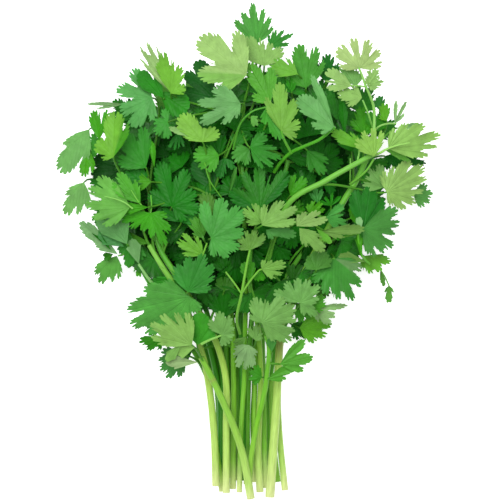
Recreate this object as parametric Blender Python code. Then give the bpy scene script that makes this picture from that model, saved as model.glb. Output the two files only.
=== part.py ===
"""A loose bunch of cut coriander, lying on its side on a flat surface.

Eighteen bare stems run side by side from their cut ends at -Y, cross each other at the waist and
spread into a crown of leaves at +Y.  Each stem is one object.  Each leaf is one object too: a
petiole that starts beside its stem or at its tip, and a lobed blade.  Five leaves of the underside
lie flat on the surface and carry the crown.

Metres, +Z up.  The origin is on the surface, under the middle of the whole bunch.
"""
import math

import bmesh
import bpy
import numpy as np
from mathutils import Matrix, Vector

# Driving dimensions
BLADE_THICKNESS = 0.0007
PETIOLE_RADIUS_AT_STEM = 0.0011
PETIOLE_RADIUS_AT_BLADE = 0.0008
SIDE_GAP = 0.0004  # between a stem and the petiole that starts beside it
TIP_GAP = 0.0010  # between a stem's tip and the petiole that carries on from it
PETIOLE_INTO_BLADE = 0.0025
STEM_POINTS = 12
PETIOLE_POINTS = 5
STEM_BEVEL_RESOLUTION = 2
PETIOLE_BEVEL_RESOLUTION = 1

# Each stem: its radius at the cut end, its radius at the tip, and the points that it passes through
# from the cut end to the tip.
STEMS = {
    "stem_left_outer": (0.0020, 0.0013, ((-0.0170, -0.1475, 0.0130), (-0.0225, -0.1100, 0.0150),
        (-0.0260, -0.0780, 0.0170), (-0.0420, -0.0495, 0.0220), (-0.0595, -0.0220, 0.0300),
        (-0.0670, -0.0085, 0.0380))),
    "stem_left_long": (0.0023, 0.0015, ((-0.0215, -0.1435, 0.0210), (-0.0225, -0.1095, 0.0250),
        (-0.0260, -0.0755, 0.0300), (-0.0325, -0.0515, 0.0340), (-0.0420, -0.0270, 0.0420),
        (-0.0520, -0.0110, 0.0460), (-0.0605, 0.0030, 0.0470))),
    "stem_left_thick": (0.0022, 0.0016, ((-0.0145, -0.1475, 0.0240), (-0.0145, -0.1095, 0.0240),
        (-0.0150, -0.0760, 0.0260), (-0.0230, -0.0500, 0.0320), (-0.0345, -0.0320, 0.0380),
        (-0.0445, -0.0150, 0.0430), (-0.0540, 0.0005, 0.0440), (-0.0600, 0.0210, 0.0440))),
    "stem_centre_left": (0.0019, 0.0014, ((-0.0105, -0.1460, 0.0130), (-0.0100, -0.1100, 0.0140),
        (-0.0100, -0.0765, 0.0170), (-0.0110, -0.0425, 0.0200), (-0.0160, -0.0120, 0.0270),
        (-0.0200, 0.0090, 0.0360), (-0.0230, 0.0300, 0.0440))),
    "stem_centre": (0.0016, 0.0013, ((-0.0065, -0.1475, 0.0200), (-0.0055, -0.1095, 0.0210),
        (-0.0035, -0.0790, 0.0220), (-0.0030, -0.0485, 0.0260), (-0.0025, -0.0180, 0.0300),
        (-0.0040, 0.0300, 0.0380), (-0.0060, 0.0800, 0.0430))),
    "stem_crossing_left": (0.0024, 0.0018, ((0.0005, -0.1505, 0.0300), (-0.0040, -0.1255, 0.0330),
        (-0.0095, -0.1075, 0.0360), (-0.0165, -0.0910, 0.0380), (-0.0230, -0.0770, 0.0400),
        (-0.0295, -0.0645, 0.0430))),
    "stem_crossing_right": (0.0018, 0.0014, ((-0.0005, -0.1445, 0.0240), (0.0005, -0.1275, 0.0270),
        (0.0040, -0.1060, 0.0320), (0.0080, -0.0895, 0.0360), (0.0100, -0.0770, 0.0390),
        (0.0115, -0.0600, 0.0440), (0.0095, -0.0510, 0.0460))),
    "stem_jointed": (0.0022, 0.0013, ((0.0060, -0.1475, 0.0180), (0.0050, -0.1250, 0.0190),
        (0.0055, -0.1035, 0.0200), (0.0065, -0.0790, 0.0220), (0.0050, -0.0485, 0.0280),
        (0.0000, -0.0210, 0.0360), (0.0005, 0.0060, 0.0480))),
    "stem_right_thick": (0.0028, 0.0016, ((0.0120, -0.1500, 0.0250), (0.0140, -0.1215, 0.0260),
        (0.0160, -0.0940, 0.0270), (0.0170, -0.0725, 0.0290), (0.0200, -0.0455, 0.0310),
        (0.0330, -0.0135, 0.0380), (0.0470, 0.0130, 0.0440), (0.0565, 0.0300, 0.0460),
        (0.0645, 0.0430, 0.0480), (0.0695, 0.0540, 0.0500))),
    "stem_right_arching": (0.0020, 0.0015, ((0.0090, -0.1455, 0.0120), (0.0085, -0.1100, 0.0120),
        (0.0080, -0.0795, 0.0140), (0.0075, -0.0490, 0.0180), (0.0110, -0.0070, 0.0380),
        (0.0225, 0.0270, 0.0540), (0.0445, 0.0410, 0.0600), (0.0605, 0.0500, 0.0620),
        (0.0735, 0.0570, 0.0620))),
    "stem_right_outer": (0.0020, 0.0014, ((0.0200, -0.1470, 0.0170), (0.0175, -0.1130, 0.0170),
        (0.0170, -0.0855, 0.0170), (0.0185, -0.0550, 0.0180), (0.0205, -0.0210, 0.0280),
        (0.0280, -0.0070, 0.0340), (0.0355, 0.0040, 0.0400))),
    "stem_under_left": (0.0022, 0.0013, ((-0.0205, -0.1400, 0.0045), (-0.0190, -0.1015, 0.0050),
        (-0.0225, -0.0675, 0.0060), (-0.0290, -0.0305, 0.0070), (-0.0610, 0.0400, 0.0110))),
    "stem_under_top_left": (0.0021, 0.0013, ((-0.0135, -0.1400, 0.0040), (-0.0135, -0.0920, 0.0045),
        (-0.0145, -0.0615, 0.0050), (-0.0145, -0.0125, 0.0070), (-0.0325, 0.0795, 0.0150))),
    "stem_under_top": (0.0021, 0.0013, ((-0.0080, -0.1415, 0.0050), (-0.0075, -0.1105, 0.0050),
        (-0.0070, -0.0800, 0.0050), (-0.0030, 0.0000, 0.0080), (0.0025, 0.0985, 0.0200))),
    "stem_under_top_right": (0.0020, 0.0013, ((-0.0020, -0.1435, 0.0080), (-0.0015, -0.0920, 0.0080),
        (0.0010, -0.0430, 0.0100), (0.0075, 0.0000, 0.0120), (0.0335, 0.0890, 0.0220))),
    "stem_under_right": (0.0021, 0.0013, ((0.0035, -0.1415, 0.0035), (0.0025, -0.0920, 0.0040),
        (0.0110, -0.0305, 0.0060), (0.0670, 0.0500, 0.0150))),
    "stem_under_right_low": (0.0020, 0.0013, ((0.0125, -0.1390, 0.0040), (0.0110, -0.0920, 0.0040),
        (0.0205, -0.0430, 0.0060), (0.0460, -0.0110, 0.0110))),
    "stem_inner_right": (0.0016, 0.0014, ((0.0020, -0.1420, 0.0110), (0.0025, -0.1100, 0.0110),
        (0.0030, -0.0825, 0.0110), (0.0045, -0.0550, 0.0125), (0.0075, -0.0290, 0.0220),
        (0.0105, -0.0030, 0.0320), (0.0155, 0.0240, 0.0380), (0.0230, 0.0540, 0.0420))),
}

# The margin of one lobe, as (share of the angle to its side, share of its length), and how far in the
# cleft between two lobes goes.
LOBE_MARGIN = ((-0.80, 0.80), (-0.42, 0.93), (0.0, 1.0), (0.42, 0.93), (0.80, 0.80))
CLEFT = 0.62
LOBE_HALF_ANGLE = 15.0

# Each leaf: its stem, how far along that stem its petiole starts (1 is the tip), where the petiole
# meets the blade, the blade's lobes as (heading in degrees from +X, length), the blade's rise to its
# tip and its sideways tilt in degrees, and how much it droops.
LEAVES = {
    # crown, top
    "leaf_top_tip": ("stem_under_top", 1.0, (0.0040, 0.1275, 0.0360), ((64, 0.0180), (83, 0.0210),
        (102, 0.0225), (136, 0.0170)), 4, 6, 0.10),
    "leaf_top_left_pale": ("stem_centre", 1.0, (-0.0020, 0.1040, 0.0620), ((103, 0.0280), (141, 0.0370),
        (178, 0.0295), (202, 0.0185)), 6, -12, 0.18),
    "leaf_top_centre_pale": ("stem_centre", 0.93, (0.0085, 0.1100, 0.0510), ((45, 0.0155), (75, 0.0150),
        (105, 0.0180), (128, 0.0215)), 8, 10, 0.16),
    "leaf_upper_middle": ("stem_centre", 0.86, (0.0120, 0.0875, 0.0600), ((90, 0.0215), (118, 0.0250),
        (150, 0.0120)), 10, 4, 0.20),
    "leaf_upper_right_dark": ("stem_under_top_right", 1.0, (0.0335, 0.0970, 0.0460), ((58, 0.0205),
        (76, 0.0265), (98, 0.0275), (132, 0.0155)), 4, 12, 0.20),
    "leaf_centre_high": ("stem_inner_right", 1.0, (0.0185, 0.0700, 0.0740), ((-8, 0.0100), (32, 0.0125),
        (68, 0.0210), (92, 0.0295), (113, 0.0225)), 5, 24, 0.16),
    "leaf_folded_grey": ("stem_inner_right", 0.88, (0.0495, 0.0725, 0.0770), ((113, 0.0340), (140, 0.0280),
        (165, 0.0140), (195, 0.0095)), 4, 20, 0.10),
    "leaf_feather_right": ("stem_right_thick", 1.0, (0.0655, 0.1090, 0.0600), ((25, 0.0125), (50, 0.0150),
        (72, 0.0170), (106, 0.0180), (140, 0.0165), (165, 0.0095)), 0, -8, 0.12),
    # crown, right
    "leaf_right_tip": ("stem_right_arching", 1.0, (0.0820, 0.0600, 0.0660), ((15, 0.0330), (33, 0.0265),
        (51, 0.0195), (66, 0.0135)), -8, 16, 0.16),
    "leaf_right_back": ("stem_right_arching", 0.95, (0.0735, 0.0555, 0.0680), ((75, 0.0160), (92, 0.0170),
        (113, 0.0165), (135, 0.0150)), -6, 6, 0.14),
    "leaf_right_broad": ("stem_right_arching", 0.72, (0.0815, 0.0345, 0.0560), ((-58, 0.0095),
        (-38, 0.0155), (-16, 0.0195), (2, 0.0225), (20, 0.0260), (34, 0.0280), (52, 0.0240), (72, 0.0165),
        (95, 0.0130)), -4, 12, 0.14),
    "leaf_right_edge_dark": ("stem_under_right", 1.0, (0.0985, 0.0325, 0.0400), ((-42, 0.0095),
        (-18, 0.0110), (8, 0.0120), (40, 0.0110)), 0, 8, 0.16),
    "leaf_right_grey": ("stem_right_outer", 1.0, (0.0670, 0.0125, 0.0600), ((-64, 0.0185), (-47, 0.0195),
        (-30, 0.0215), (-7, 0.0200), (11, 0.0230), (29, 0.0245)), 4, 20, 0.12),
    "leaf_right_small": ("stem_right_thick", 0.9, (0.0820, 0.0775, 0.0450), ((100, 0.0110), (135, 0.0060)),
        2, 20, 0.14),
    "leaf_right_bright": ("stem_under_right", 0.62, (0.0685, -0.0035, 0.0420), ((272, 0.0090),
        (298, 0.0120), (320, 0.0140), (348, 0.0170)), -4, 8, 0.12),
    "leaf_right_lower": ("stem_under_right", 0.74, (0.0505, -0.0050, 0.0490), ((230, 0.0190), (255, 0.0225),
        (276, 0.0250), (294, 0.0280), (312, 0.0235), (337, 0.0180)), -2, -12, 0.14),
    # waist
    "leaf_waist_pale": ("stem_crossing_right", 1.0, (0.0070, -0.0435, 0.0570), ((-46, 0.0145),
        (-30, 0.0210), (-14, 0.0205), (5, 0.0210), (25, 0.0225), (48, 0.0205), (78, 0.0145), (105, 0.0160),
        (137, 0.0095)), 4, 10, 0.14),
    "leaf_waist_right": ("stem_right_thick", 0.42, (0.0300, -0.0315, 0.0530), ((-62, 0.0085), (-38, 0.0130),
        (18, 0.0120), (42, 0.0155), (70, 0.0150), (96, 0.0150), (124, 0.0155), (157, 0.0175)), 8, 4, 0.14),
    "leaf_waist_bright": ("stem_under_right_low", 0.68, (0.0300, -0.0470, 0.0320), ((-38, 0.0135),
        (-14, 0.0175), (8, 0.0200), (30, 0.0170)), 2, 6, 0.14),
    "leaf_waist_hanging": ("stem_crossing_right", 0.74, (0.0180, -0.0685, 0.0450), ((-14, 0.0150),
        (12, 0.0205), (44, 0.0210)), 0, 18, 0.14),
    "leaf_waist_left_pale": ("stem_crossing_left", 1.0, (-0.0345, -0.0565, 0.0620), ((99, 0.0200),
        (118, 0.0220), (136, 0.0260), (153, 0.0280), (168, 0.0250)), 8, 8, 0.12),
    "leaf_waist_left_dark": ("stem_left_outer", 0.42, (-0.0395, -0.0645, 0.0400), ((165, 0.0145),
        (188, 0.0160), (208, 0.0170), (228, 0.0170), (250, 0.0130)), -2, 10, 0.10),
    "leaf_lower_left": ("stem_left_long", 0.62, (-0.0360, -0.0280, 0.0500), ((171, 0.0285), (205, 0.0405),
        (240, 0.0205), (270, 0.0110), (300, 0.0110)), -4, -6, 0.12),
    # crown, left
    "leaf_left_inner_dark": ("stem_left_thick", 0.62, (-0.0370, -0.0250, 0.0580), ((16, 0.0150),
        (33, 0.0190), (47, 0.0225), (66, 0.0250), (86, 0.0215), (112, 0.0180)), 6, -4, 0.14),
    "leaf_left_bluish": ("stem_centre_left", 0.78, (-0.0230, 0.0070, 0.0660), ((-75, 0.0115), (-45, 0.0155),
        (-18, 0.0180), (14, 0.0200), (43, 0.0260), (73, 0.0250), (100, 0.0225)), 6, -8, 0.14),
    "leaf_left_bright": ("stem_left_long", 0.9, (-0.0590, 0.0220, 0.0605), ((243, 0.0120), (294, 0.0215),
        (312, 0.0165), (341, 0.0105)), 4, 16, 0.18),
    "leaf_left_dark": ("stem_left_thick", 0.8, (-0.0465, 0.0260, 0.0560), ((32, 0.0165), (68, 0.0240),
        (105, 0.0280), (150, 0.0165)), 2, -6, 0.12),
    "leaf_left_tip": ("stem_left_outer", 1.0, (-0.0735, 0.0035, 0.0500), ((105, 0.0250), (122, 0.0275),
        (140, 0.0250)), 0, -30, 0.12),
    "leaf_left_low": ("stem_left_outer", 0.93, (-0.0805, -0.0035, 0.0320), ((222, 0.0180), (237, 0.0200),
        (252, 0.0170), (268, 0.0145)), -4, 10, 0.10),
    "leaf_left_pale": ("stem_left_long", 1.0, (-0.0710, 0.0255, 0.0655), ((118, 0.0225), (140, 0.0280),
        (174, 0.0265), (206, 0.0225)), -2, -8, 0.14),
    "leaf_left_edge": ("stem_under_left", 1.0, (-0.0970, 0.0730, 0.0340), ((219, 0.0210), (236, 0.0320),
        (256, 0.0235)), -16, -10, 0.16),
    "leaf_left_edge_low": ("stem_under_left", 0.9, (-0.1005, 0.0410, 0.0300), ((222, 0.0145), (240, 0.0230),
        (255, 0.0205), (275, 0.0165)), -10, 14, 0.12),
    "leaf_left_lime": ("stem_left_thick", 0.9, (-0.0810, 0.0550, 0.0670), ((68, 0.0225), (88, 0.0275),
        (132, 0.0140)), 6, 26, 0.12),
    "leaf_upper_left_broad": ("stem_left_thick", 1.0, (-0.0585, 0.0910, 0.0510), ((125, 0.0220),
        (165, 0.0225), (205, 0.0210), (232, 0.0215), (255, 0.0145)), -6, -4, 0.16),
    "leaf_upper_left_lime": ("stem_under_top_left", 1.0, (-0.0470, 0.0930, 0.0620), ((30, 0.0095),
        (80, 0.0180), (102, 0.0260)), 4, 28, 0.12),
    "leaf_upper_grey": ("stem_centre_left", 0.96, (-0.0055, 0.0865, 0.0730), ((152, 0.0190), (178, 0.0260),
        (205, 0.0270), (235, 0.0105)), 2, -12, 0.16),
    "leaf_upper_lime": ("stem_centre_left", 1.0, (-0.0280, 0.0640, 0.0660), ((40, 0.0120), (130, 0.0215),
        (150, 0.0140)), 8, 8, 0.14),
}

# Each leaf of the underside: its stem, how far along it the petiole starts, where the petiole meets the
# blade, the middle lobe's heading and its length.
FLAT_LEAVES = {
    "leaf_rest_left": ("stem_under_left", 0.78, (-0.048, 0.018), 150, 0.040),
    "leaf_rest_top_left": ("stem_under_top_left", 0.80, (-0.037, 0.074), 122, 0.035),
    "leaf_rest_top": ("stem_under_top", 0.82, (0.022, 0.080), 66, 0.036),
    "leaf_rest_right": ("stem_under_right", 0.72, (0.050, 0.026), 42, 0.036),
    "leaf_rest_lower_right": ("stem_under_right_low", 0.95, (0.038, -0.008), -10, 0.026),
}
FLAT_LOBES = ((-80, 0.8), (-40, 0.9), (0, 1.0), (40, 0.9), (80, 0.8))  # turn from the middle, share of it
for name, (stem, start, (x, y), heading, length) in FLAT_LEAVES.items():
    fan = tuple((heading + turn, length * share) for turn, share in FLAT_LOBES)
    LEAVES[name] = (stem, start, (x, y, 0.0), fan, 0, 0, 0.0)

STEM_COLOUR = (0.33, 0.52, 0.10, 1.0)
BLADE_COLOUR = (0.07, 0.30, 0.04, 1.0)


def clear_scene():
    for old in list(bpy.data.objects):
        bpy.data.objects.remove(old)


def plant_material(name, colour, roughness):
    material = bpy.data.materials.new(name)
    material.use_nodes = True
    shader = material.node_tree.nodes["Principled BSDF"]
    shader.inputs["Base Color"].default_value = colour
    shader.inputs["Roughness"].default_value = roughness
    shader.inputs["Metallic"].default_value = 0.0
    return material


def curve_through(points, count):
    """A Catmull-Rom curve through the points, read at count places spaced evenly in its parameter."""
    p = np.array(points, float)
    p = np.vstack([2 * p[0] - p[1], p, 2 * p[-1] - p[-2]])
    t = np.linspace(0.0, len(points) - 1.0, count)
    i = np.minimum(t.astype(int), len(points) - 2)
    f = (t - i)[:, None]
    a, b, c, d = p[i], p[i + 1], p[i + 2], p[i + 3]
    return 0.5 * (2 * b + (c - a) * f + (2 * a - 5 * b + 4 * c - d) * f**2 + (3 * b - a - 3 * c + d) * f**3)


def tube(name, path, radii, bevel_resolution):
    """A closed round tube along path, as a mesh object: a bevelled curve with filled caps."""
    curve = bpy.data.curves.new(name, "CURVE")
    curve.dimensions = "3D"
    curve.bevel_depth = 1.0
    curve.bevel_resolution = bevel_resolution
    curve.use_fill_caps = True
    spline = curve.splines.new("POLY")
    spline.points.add(len(path) - 1)
    for point, place, radius in zip(spline.points, path, radii):
        point.co = (*place, 1.0)
        point.radius = radius
    guide = bpy.data.objects.new(name, curve)
    bpy.context.scene.collection.objects.link(guide)
    mesh = bpy.data.meshes.new_from_object(guide.evaluated_get(bpy.context.evaluated_depsgraph_get()))
    bpy.data.objects.remove(guide)
    bpy.data.curves.remove(curve)
    shell = bmesh.new()
    shell.from_mesh(mesh)
    bmesh.ops.remove_doubles(shell, verts=shell.verts, dist=1e-6)
    bmesh.ops.recalc_face_normals(shell, faces=shell.faces)
    shell.to_mesh(mesh)
    shell.free()
    mesh.shade_smooth()
    mesh.set_sharp_from_angle(angle=math.radians(60))
    mesh.name = name
    made = bpy.data.objects.new(name, mesh)
    bpy.context.scene.collection.objects.link(made)
    return made


def blade_turn(heading, rise, tilt):
    """The blade's own axes as a matrix: +Y runs to its tip and +Z out of its upper face."""
    return (Matrix.Rotation(math.radians(heading - 90), 3, "Z") @ Matrix.Rotation(math.radians(rise), 3, "X")
            @ Matrix.Rotation(math.radians(tilt), 3, "Y"))


def blade_axis(lobes):
    """The heading of the blade as a whole: the direction of the sum of its lobes."""
    east = sum(length * math.cos(math.radians(heading)) for heading, length in lobes)
    north = sum(length * math.sin(math.radians(heading)) for heading, length in lobes)
    return math.degrees(math.atan2(north, east))


def blade_rim(lobes):
    """The margin as (heading, reach) from the petiole's end: each lobe's five points, and a cleft where
    it meets the next one."""
    rim = []
    for k, (heading, length) in enumerate(lobes):
        before = (heading - lobes[k - 1][0]) / 2 if k > 0 else LOBE_HALF_ANGLE
        after = (lobes[k + 1][0] - heading) / 2 if k < len(lobes) - 1 else LOBE_HALF_ANGLE
        for across, along in LOBE_MARGIN:
            half = min(before if across < 0 else after, LOBE_HALF_ANGLE)
            rim.append((heading + across * half, length * along))
        if k < len(lobes) - 1:
            rim.append((heading + after, CLEFT * min(length, lobes[k + 1][1])))
    return rim


def blade_mesh(name, lobes, droop):
    """The blade's sheet in its own axes: the margin's points, fanned from the petiole's end."""
    axis = blade_axis(lobes)
    longest = max(length for _, length in lobes)
    sheet = bmesh.new()
    foot = sheet.verts.new((0.0, 0.0, 0.0))
    rim = []
    for heading, reach in blade_rim(lobes):
        angle = math.radians(axis - heading)
        place = (reach * math.sin(angle), reach * math.cos(angle), -droop * reach**2 / longest)
        rim.append(sheet.verts.new(place))
    for first, second in zip(rim, rim[1:]):
        sheet.faces.new((foot, first, second))
    mesh = bpy.data.meshes.new(name)
    sheet.to_mesh(mesh)
    sheet.free()
    return mesh


def petiole_path(stem_path, start, stem_radius, hub, turn, lift):
    """A curve that leaves the stem along its run and reaches the blade's foot along the blade's axis."""
    at = start * (len(stem_path) - 1)
    i = min(int(at), len(stem_path) - 2)
    on_stem = Vector(stem_path[i]).lerp(Vector(stem_path[i + 1]), at - i)
    run = (Vector(stem_path[i + 1]) - Vector(stem_path[i])).normalized()
    forward, upward = turn @ Vector((0, 1, 0)), turn @ Vector((0, 0, 1))
    end = hub + forward * PETIOLE_INTO_BLADE + upward * lift
    if start == 1.0:
        foot = on_stem + run * TIP_GAP
    else:
        aside = end - on_stem
        aside = (aside - run * aside.dot(run)).normalized()
        foot = on_stem + aside * (stem_radius + PETIOLE_RADIUS_AT_STEM + SIDE_GAP)
    reach = (end - foot).length
    bend_from, bend_to = foot + run * reach * 0.30, end - forward * reach * 0.35
    path = []
    for k in range(PETIOLE_POINTS):
        t = k / (PETIOLE_POINTS - 1)
        path.append(foot * (1 - t) ** 3 + bend_from * 3 * t * (1 - t) ** 2 + bend_to * 3 * t * t * (1 - t)
                    + end * t**3)
    return path


def build_stem(name, material):
    cut_radius, tip_radius, points = STEMS[name]
    path = curve_through(points, STEM_POINTS)
    radii = np.linspace(cut_radius, tip_radius, STEM_POINTS)
    stem = tube(name, path, radii, STEM_BEVEL_RESOLUTION)
    stem.data.materials.append(material)
    return path, radii


def build_leaf(name, stem_runs, material):
    stem, start, hub, lobes, rise, tilt, droop = LEAVES[name]
    lies_flat = hub[2] == 0.0
    hub = Vector(hub) + Vector((0, 0, BLADE_THICKNESS / 2 if lies_flat else 0.0))
    turn = blade_turn(blade_axis(lobes), rise, tilt)
    lift = PETIOLE_RADIUS_AT_BLADE - BLADE_THICKNESS / 2 + SIDE_GAP / 2 if lies_flat else 0.0

    blade = bpy.data.objects.new(name, blade_mesh(name, lobes, droop))
    bpy.context.scene.collection.objects.link(blade)
    blade.matrix_world = Matrix.Translation(hub) @ turn.to_4x4()
    blade.data.materials.append(material)

    path, radii = stem_runs[stem]
    stem_radius = float(np.interp(start, np.linspace(0, 1, len(radii)), radii))
    run = petiole_path(path, start, stem_radius, hub, turn, lift)
    petiole = tube(name + "_petiole", run,
                   np.linspace(PETIOLE_RADIUS_AT_STEM, PETIOLE_RADIUS_AT_BLADE, PETIOLE_POINTS),
                   PETIOLE_BEVEL_RESOLUTION)
    petiole.hide_render = True
    petiole.display_type = "WIRE"

    thicken = blade.modifiers.new("thickness", "SOLIDIFY")
    thicken.thickness = BLADE_THICKNESS
    thicken.offset = 0.0
    join = blade.modifiers.new("petiole", "BOOLEAN")
    join.operation = "UNION"
    join.object = petiole


clear_scene()
stem_material = plant_material("stem", STEM_COLOUR, 0.45)
blade_material = plant_material("leaf", BLADE_COLOUR, 0.55)
stem_runs = {name: build_stem(name, stem_material) for name in STEMS}
for name in LEAVES:
    build_leaf(name, stem_runs, blade_material)
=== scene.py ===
"""A loose bunch of cut coriander lying on a pale surface, seen from straight above.

Lengths are in millimetres until a mesh is put in: x to the right, y from the cut ends to the crown,
z up from the surface.  Directions are in degrees from +x.  Colours are sRGB, 0 to 255.
"""
import math

import bpy
import numpy as np
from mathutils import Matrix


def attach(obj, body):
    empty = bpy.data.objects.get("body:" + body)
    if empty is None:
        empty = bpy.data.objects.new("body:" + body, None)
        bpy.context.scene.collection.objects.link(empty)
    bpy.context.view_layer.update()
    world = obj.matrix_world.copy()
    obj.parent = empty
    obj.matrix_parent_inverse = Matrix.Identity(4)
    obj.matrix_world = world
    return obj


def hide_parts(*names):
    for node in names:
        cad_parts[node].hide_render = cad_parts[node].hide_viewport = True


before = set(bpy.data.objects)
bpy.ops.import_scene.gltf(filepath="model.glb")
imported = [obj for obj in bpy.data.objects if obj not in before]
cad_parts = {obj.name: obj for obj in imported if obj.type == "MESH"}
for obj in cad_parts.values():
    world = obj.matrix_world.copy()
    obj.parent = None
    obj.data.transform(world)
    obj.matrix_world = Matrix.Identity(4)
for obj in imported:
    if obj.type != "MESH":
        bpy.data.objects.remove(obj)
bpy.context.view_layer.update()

# ---------------------------------------------------------------------------------------- stems
# Eighteen bare leaf stalks, each one grown as a round, faintly ribbed tube that thins towards the
# crown.  They are pale and moist at the cut end, where the knife left a dished face, and greener
# above.  They lie side by side in the hand's width of the bunch and cross at the waist.
MILLIMETRE = 0.001  # in metres, the frame's unit
SAPWOOD = (205, 222, 158)
SHADED_GREEN = ((112, 176, 54), (90, 158, 38), (58, 142, 34))
# Each stem: radius at the cut and at the tip, the colours of its foot, middle and top, and the points
# that it passes through.
STEMS = {
    "stem_left_outer": (2.0, 1.3, ((140, 192, 70), (104, 170, 44), (74, 150, 40)), (
        (-17, -147.5, 13), (-22.5, -110, 15), (-26, -78, 17), (-42, -49.5, 22), (-59.5, -22, 30),
        (-67, -8.5, 38))),
    "stem_left_long": (2.3, 1.5, ((176, 212, 118), (168, 206, 100), (128, 188, 86)), (
        (-20.8, -143.5, 21), (-22, -109.5, 25), (-26, -75.5, 30), (-32.5, -51.5, 34), (-42, -27, 42),
        (-52, -11, 46), (-60.5, 3, 47))),
    "stem_left_thick": (2.2, 1.6, ((178, 215, 118), (166, 208, 96), (96, 168, 66)), (
        (-14.5, -147.5, 24), (-14.5, -109.5, 24), (-15, -76, 26), (-23, -50, 32), (-34.5, -32, 38),
        (-44.5, -15, 43), (-54, 0.5, 44), (-60, 21, 44))),
    "stem_centre_left": (1.9, 1.4, ((140, 192, 74), (122, 184, 50), (96, 168, 66)), (
        (-10.5, -146, 13), (-10, -110, 14), (-10, -76.5, 17), (-11, -42.5, 20), (-16, -12, 27), (-20, 9, 36),
        (-23, 30, 44))),
    "stem_centre": (1.6, 1.3, ((128, 184, 64), (112, 178, 44), (96, 168, 66)), (
        (-6.5, -147.5, 20), (-5.5, -109.5, 21), (-3.5, -79, 22), (-3, -48.5, 26), (-2.5, -18, 30),
        (-4, 30, 38), (-6, 80, 43))),
    "stem_crossing_left": (2.4, 1.8, ((176, 214, 120), (146, 190, 84), (130, 184, 70)), (
        (0.5, -150.5, 30), (-4, -125.5, 33), (-9.5, -107.5, 36), (-16.5, -91, 38), (-23, -77, 40),
        (-29.5, -64.5, 43))),
    "stem_crossing_right": (1.8, 1.4, ((150, 200, 84), (122, 184, 50), (110, 175, 62)), (
        (-0.5, -144.5, 24), (0.5, -127.5, 27), (4, -106, 32), (8, -89.5, 36), (10, -77, 39), (11.5, -60, 44),
        (9.5, -51, 46))),
    "stem_jointed": (2.2, 1.3, ((178, 215, 120), (150, 196, 80), (96, 168, 66)), (
        (6, -147.5, 18), (5, -125, 19), (5.5, -103.5, 20), (6.5, -79, 22), (5, -48.5, 28), (0, -21, 36),
        (0.5, 6, 48))),
    "stem_right_thick": (2.8, 1.6, ((182, 216, 124), (162, 205, 96), (110, 176, 70)), (
        (12, -150, 25), (14, -121.5, 26), (16, -94, 27), (17, -72.5, 29), (20, -45.5, 31), (33, -13.5, 38),
        (47, 13, 44), (56.5, 30, 46), (64.5, 43, 48), (69.5, 54, 50))),
    "stem_right_arching": (2.0, 1.5, ((128, 186, 66), (98, 166, 50), (118, 182, 82)), (
        (9, -145.5, 12), (8.5, -110, 12), (8, -79.5, 14), (7.5, -49, 18), (11, -7, 38), (22.5, 27, 54),
        (44.5, 41, 60), (60.5, 50, 62), (73.5, 57, 62))),
    "stem_right_outer": (2.0, 1.4, ((170, 210, 112), (150, 198, 84), (100, 170, 64)), (
        (21.3, -146.5, 17), (18, -113, 17), (17, -85.5, 17), (18.5, -55, 18), (20.5, -21, 28), (28, -7, 34),
        (35.5, 4, 40))),
    "stem_under_left": (2.2, 1.3, SHADED_GREEN, (
        (-20.5, -140, 4.5), (-19, -101.5, 5), (-22.5, -67.5, 6), (-29, -30.5, 7), (-61, 40, 11))),
    "stem_under_top_left": (2.1, 1.3, SHADED_GREEN, (
        (-13.5, -140, 4), (-13.5, -92, 4.5), (-14.5, -61.5, 5), (-14.5, -12.5, 7), (-32.5, 79.5, 15))),
    "stem_under_top": (2.1, 1.3, SHADED_GREEN, (
        (-8, -141.5, 5), (-7.5, -110.5, 5), (-7, -80, 5), (-3, 0, 8), (2.5, 98.5, 20))),
    "stem_under_top_right": (2.0, 1.3, SHADED_GREEN, (
        (-2, -143.5, 8), (-1.5, -92, 8), (1, -43, 10), (7.5, 0, 12), (33.5, 89, 22))),
    "stem_under_right": (2.1, 1.3, SHADED_GREEN, (
        (3.5, -141.5, 3.5), (2.5, -92, 4), (11, -30.5, 6), (67, 50, 15))),
    "stem_under_right_low": (2.0, 1.3, SHADED_GREEN, (
        (12.5, -139, 4), (11, -92, 4), (20.5, -43, 6), (46, -11, 11))),
    "stem_inner_right": (1.6, 1.4, ((138, 192, 72), (116, 180, 46), (96, 168, 66)), (
        (2, -142, 11), (2.5, -110, 11), (3, -82.5, 11), (4.5, -55, 12.5), (7.5, -29, 22), (10.5, -3, 32),
        (15.5, 24, 38), (23, 54, 42))),
}


def linear(colour):
    """The linear value of an sRGB colour.  The darker its green g is, the purer the colour gets, as leaf
    green does in shade: with d = g / 0.4, red is taken times 0.78 d^0.42, green times 0.98 d^-0.04 and blue
    times 0.54 d^0.65."""
    c = np.asarray(colour, float) / 255
    c = np.where(c > 0.04045, ((c + 0.055) / 1.055) ** 2.4, c / 12.92)
    depth = c[1] / 0.4
    return c * (0.78 * depth**0.42, 0.98 * depth**-0.04, 0.54 * depth**0.65)


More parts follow.
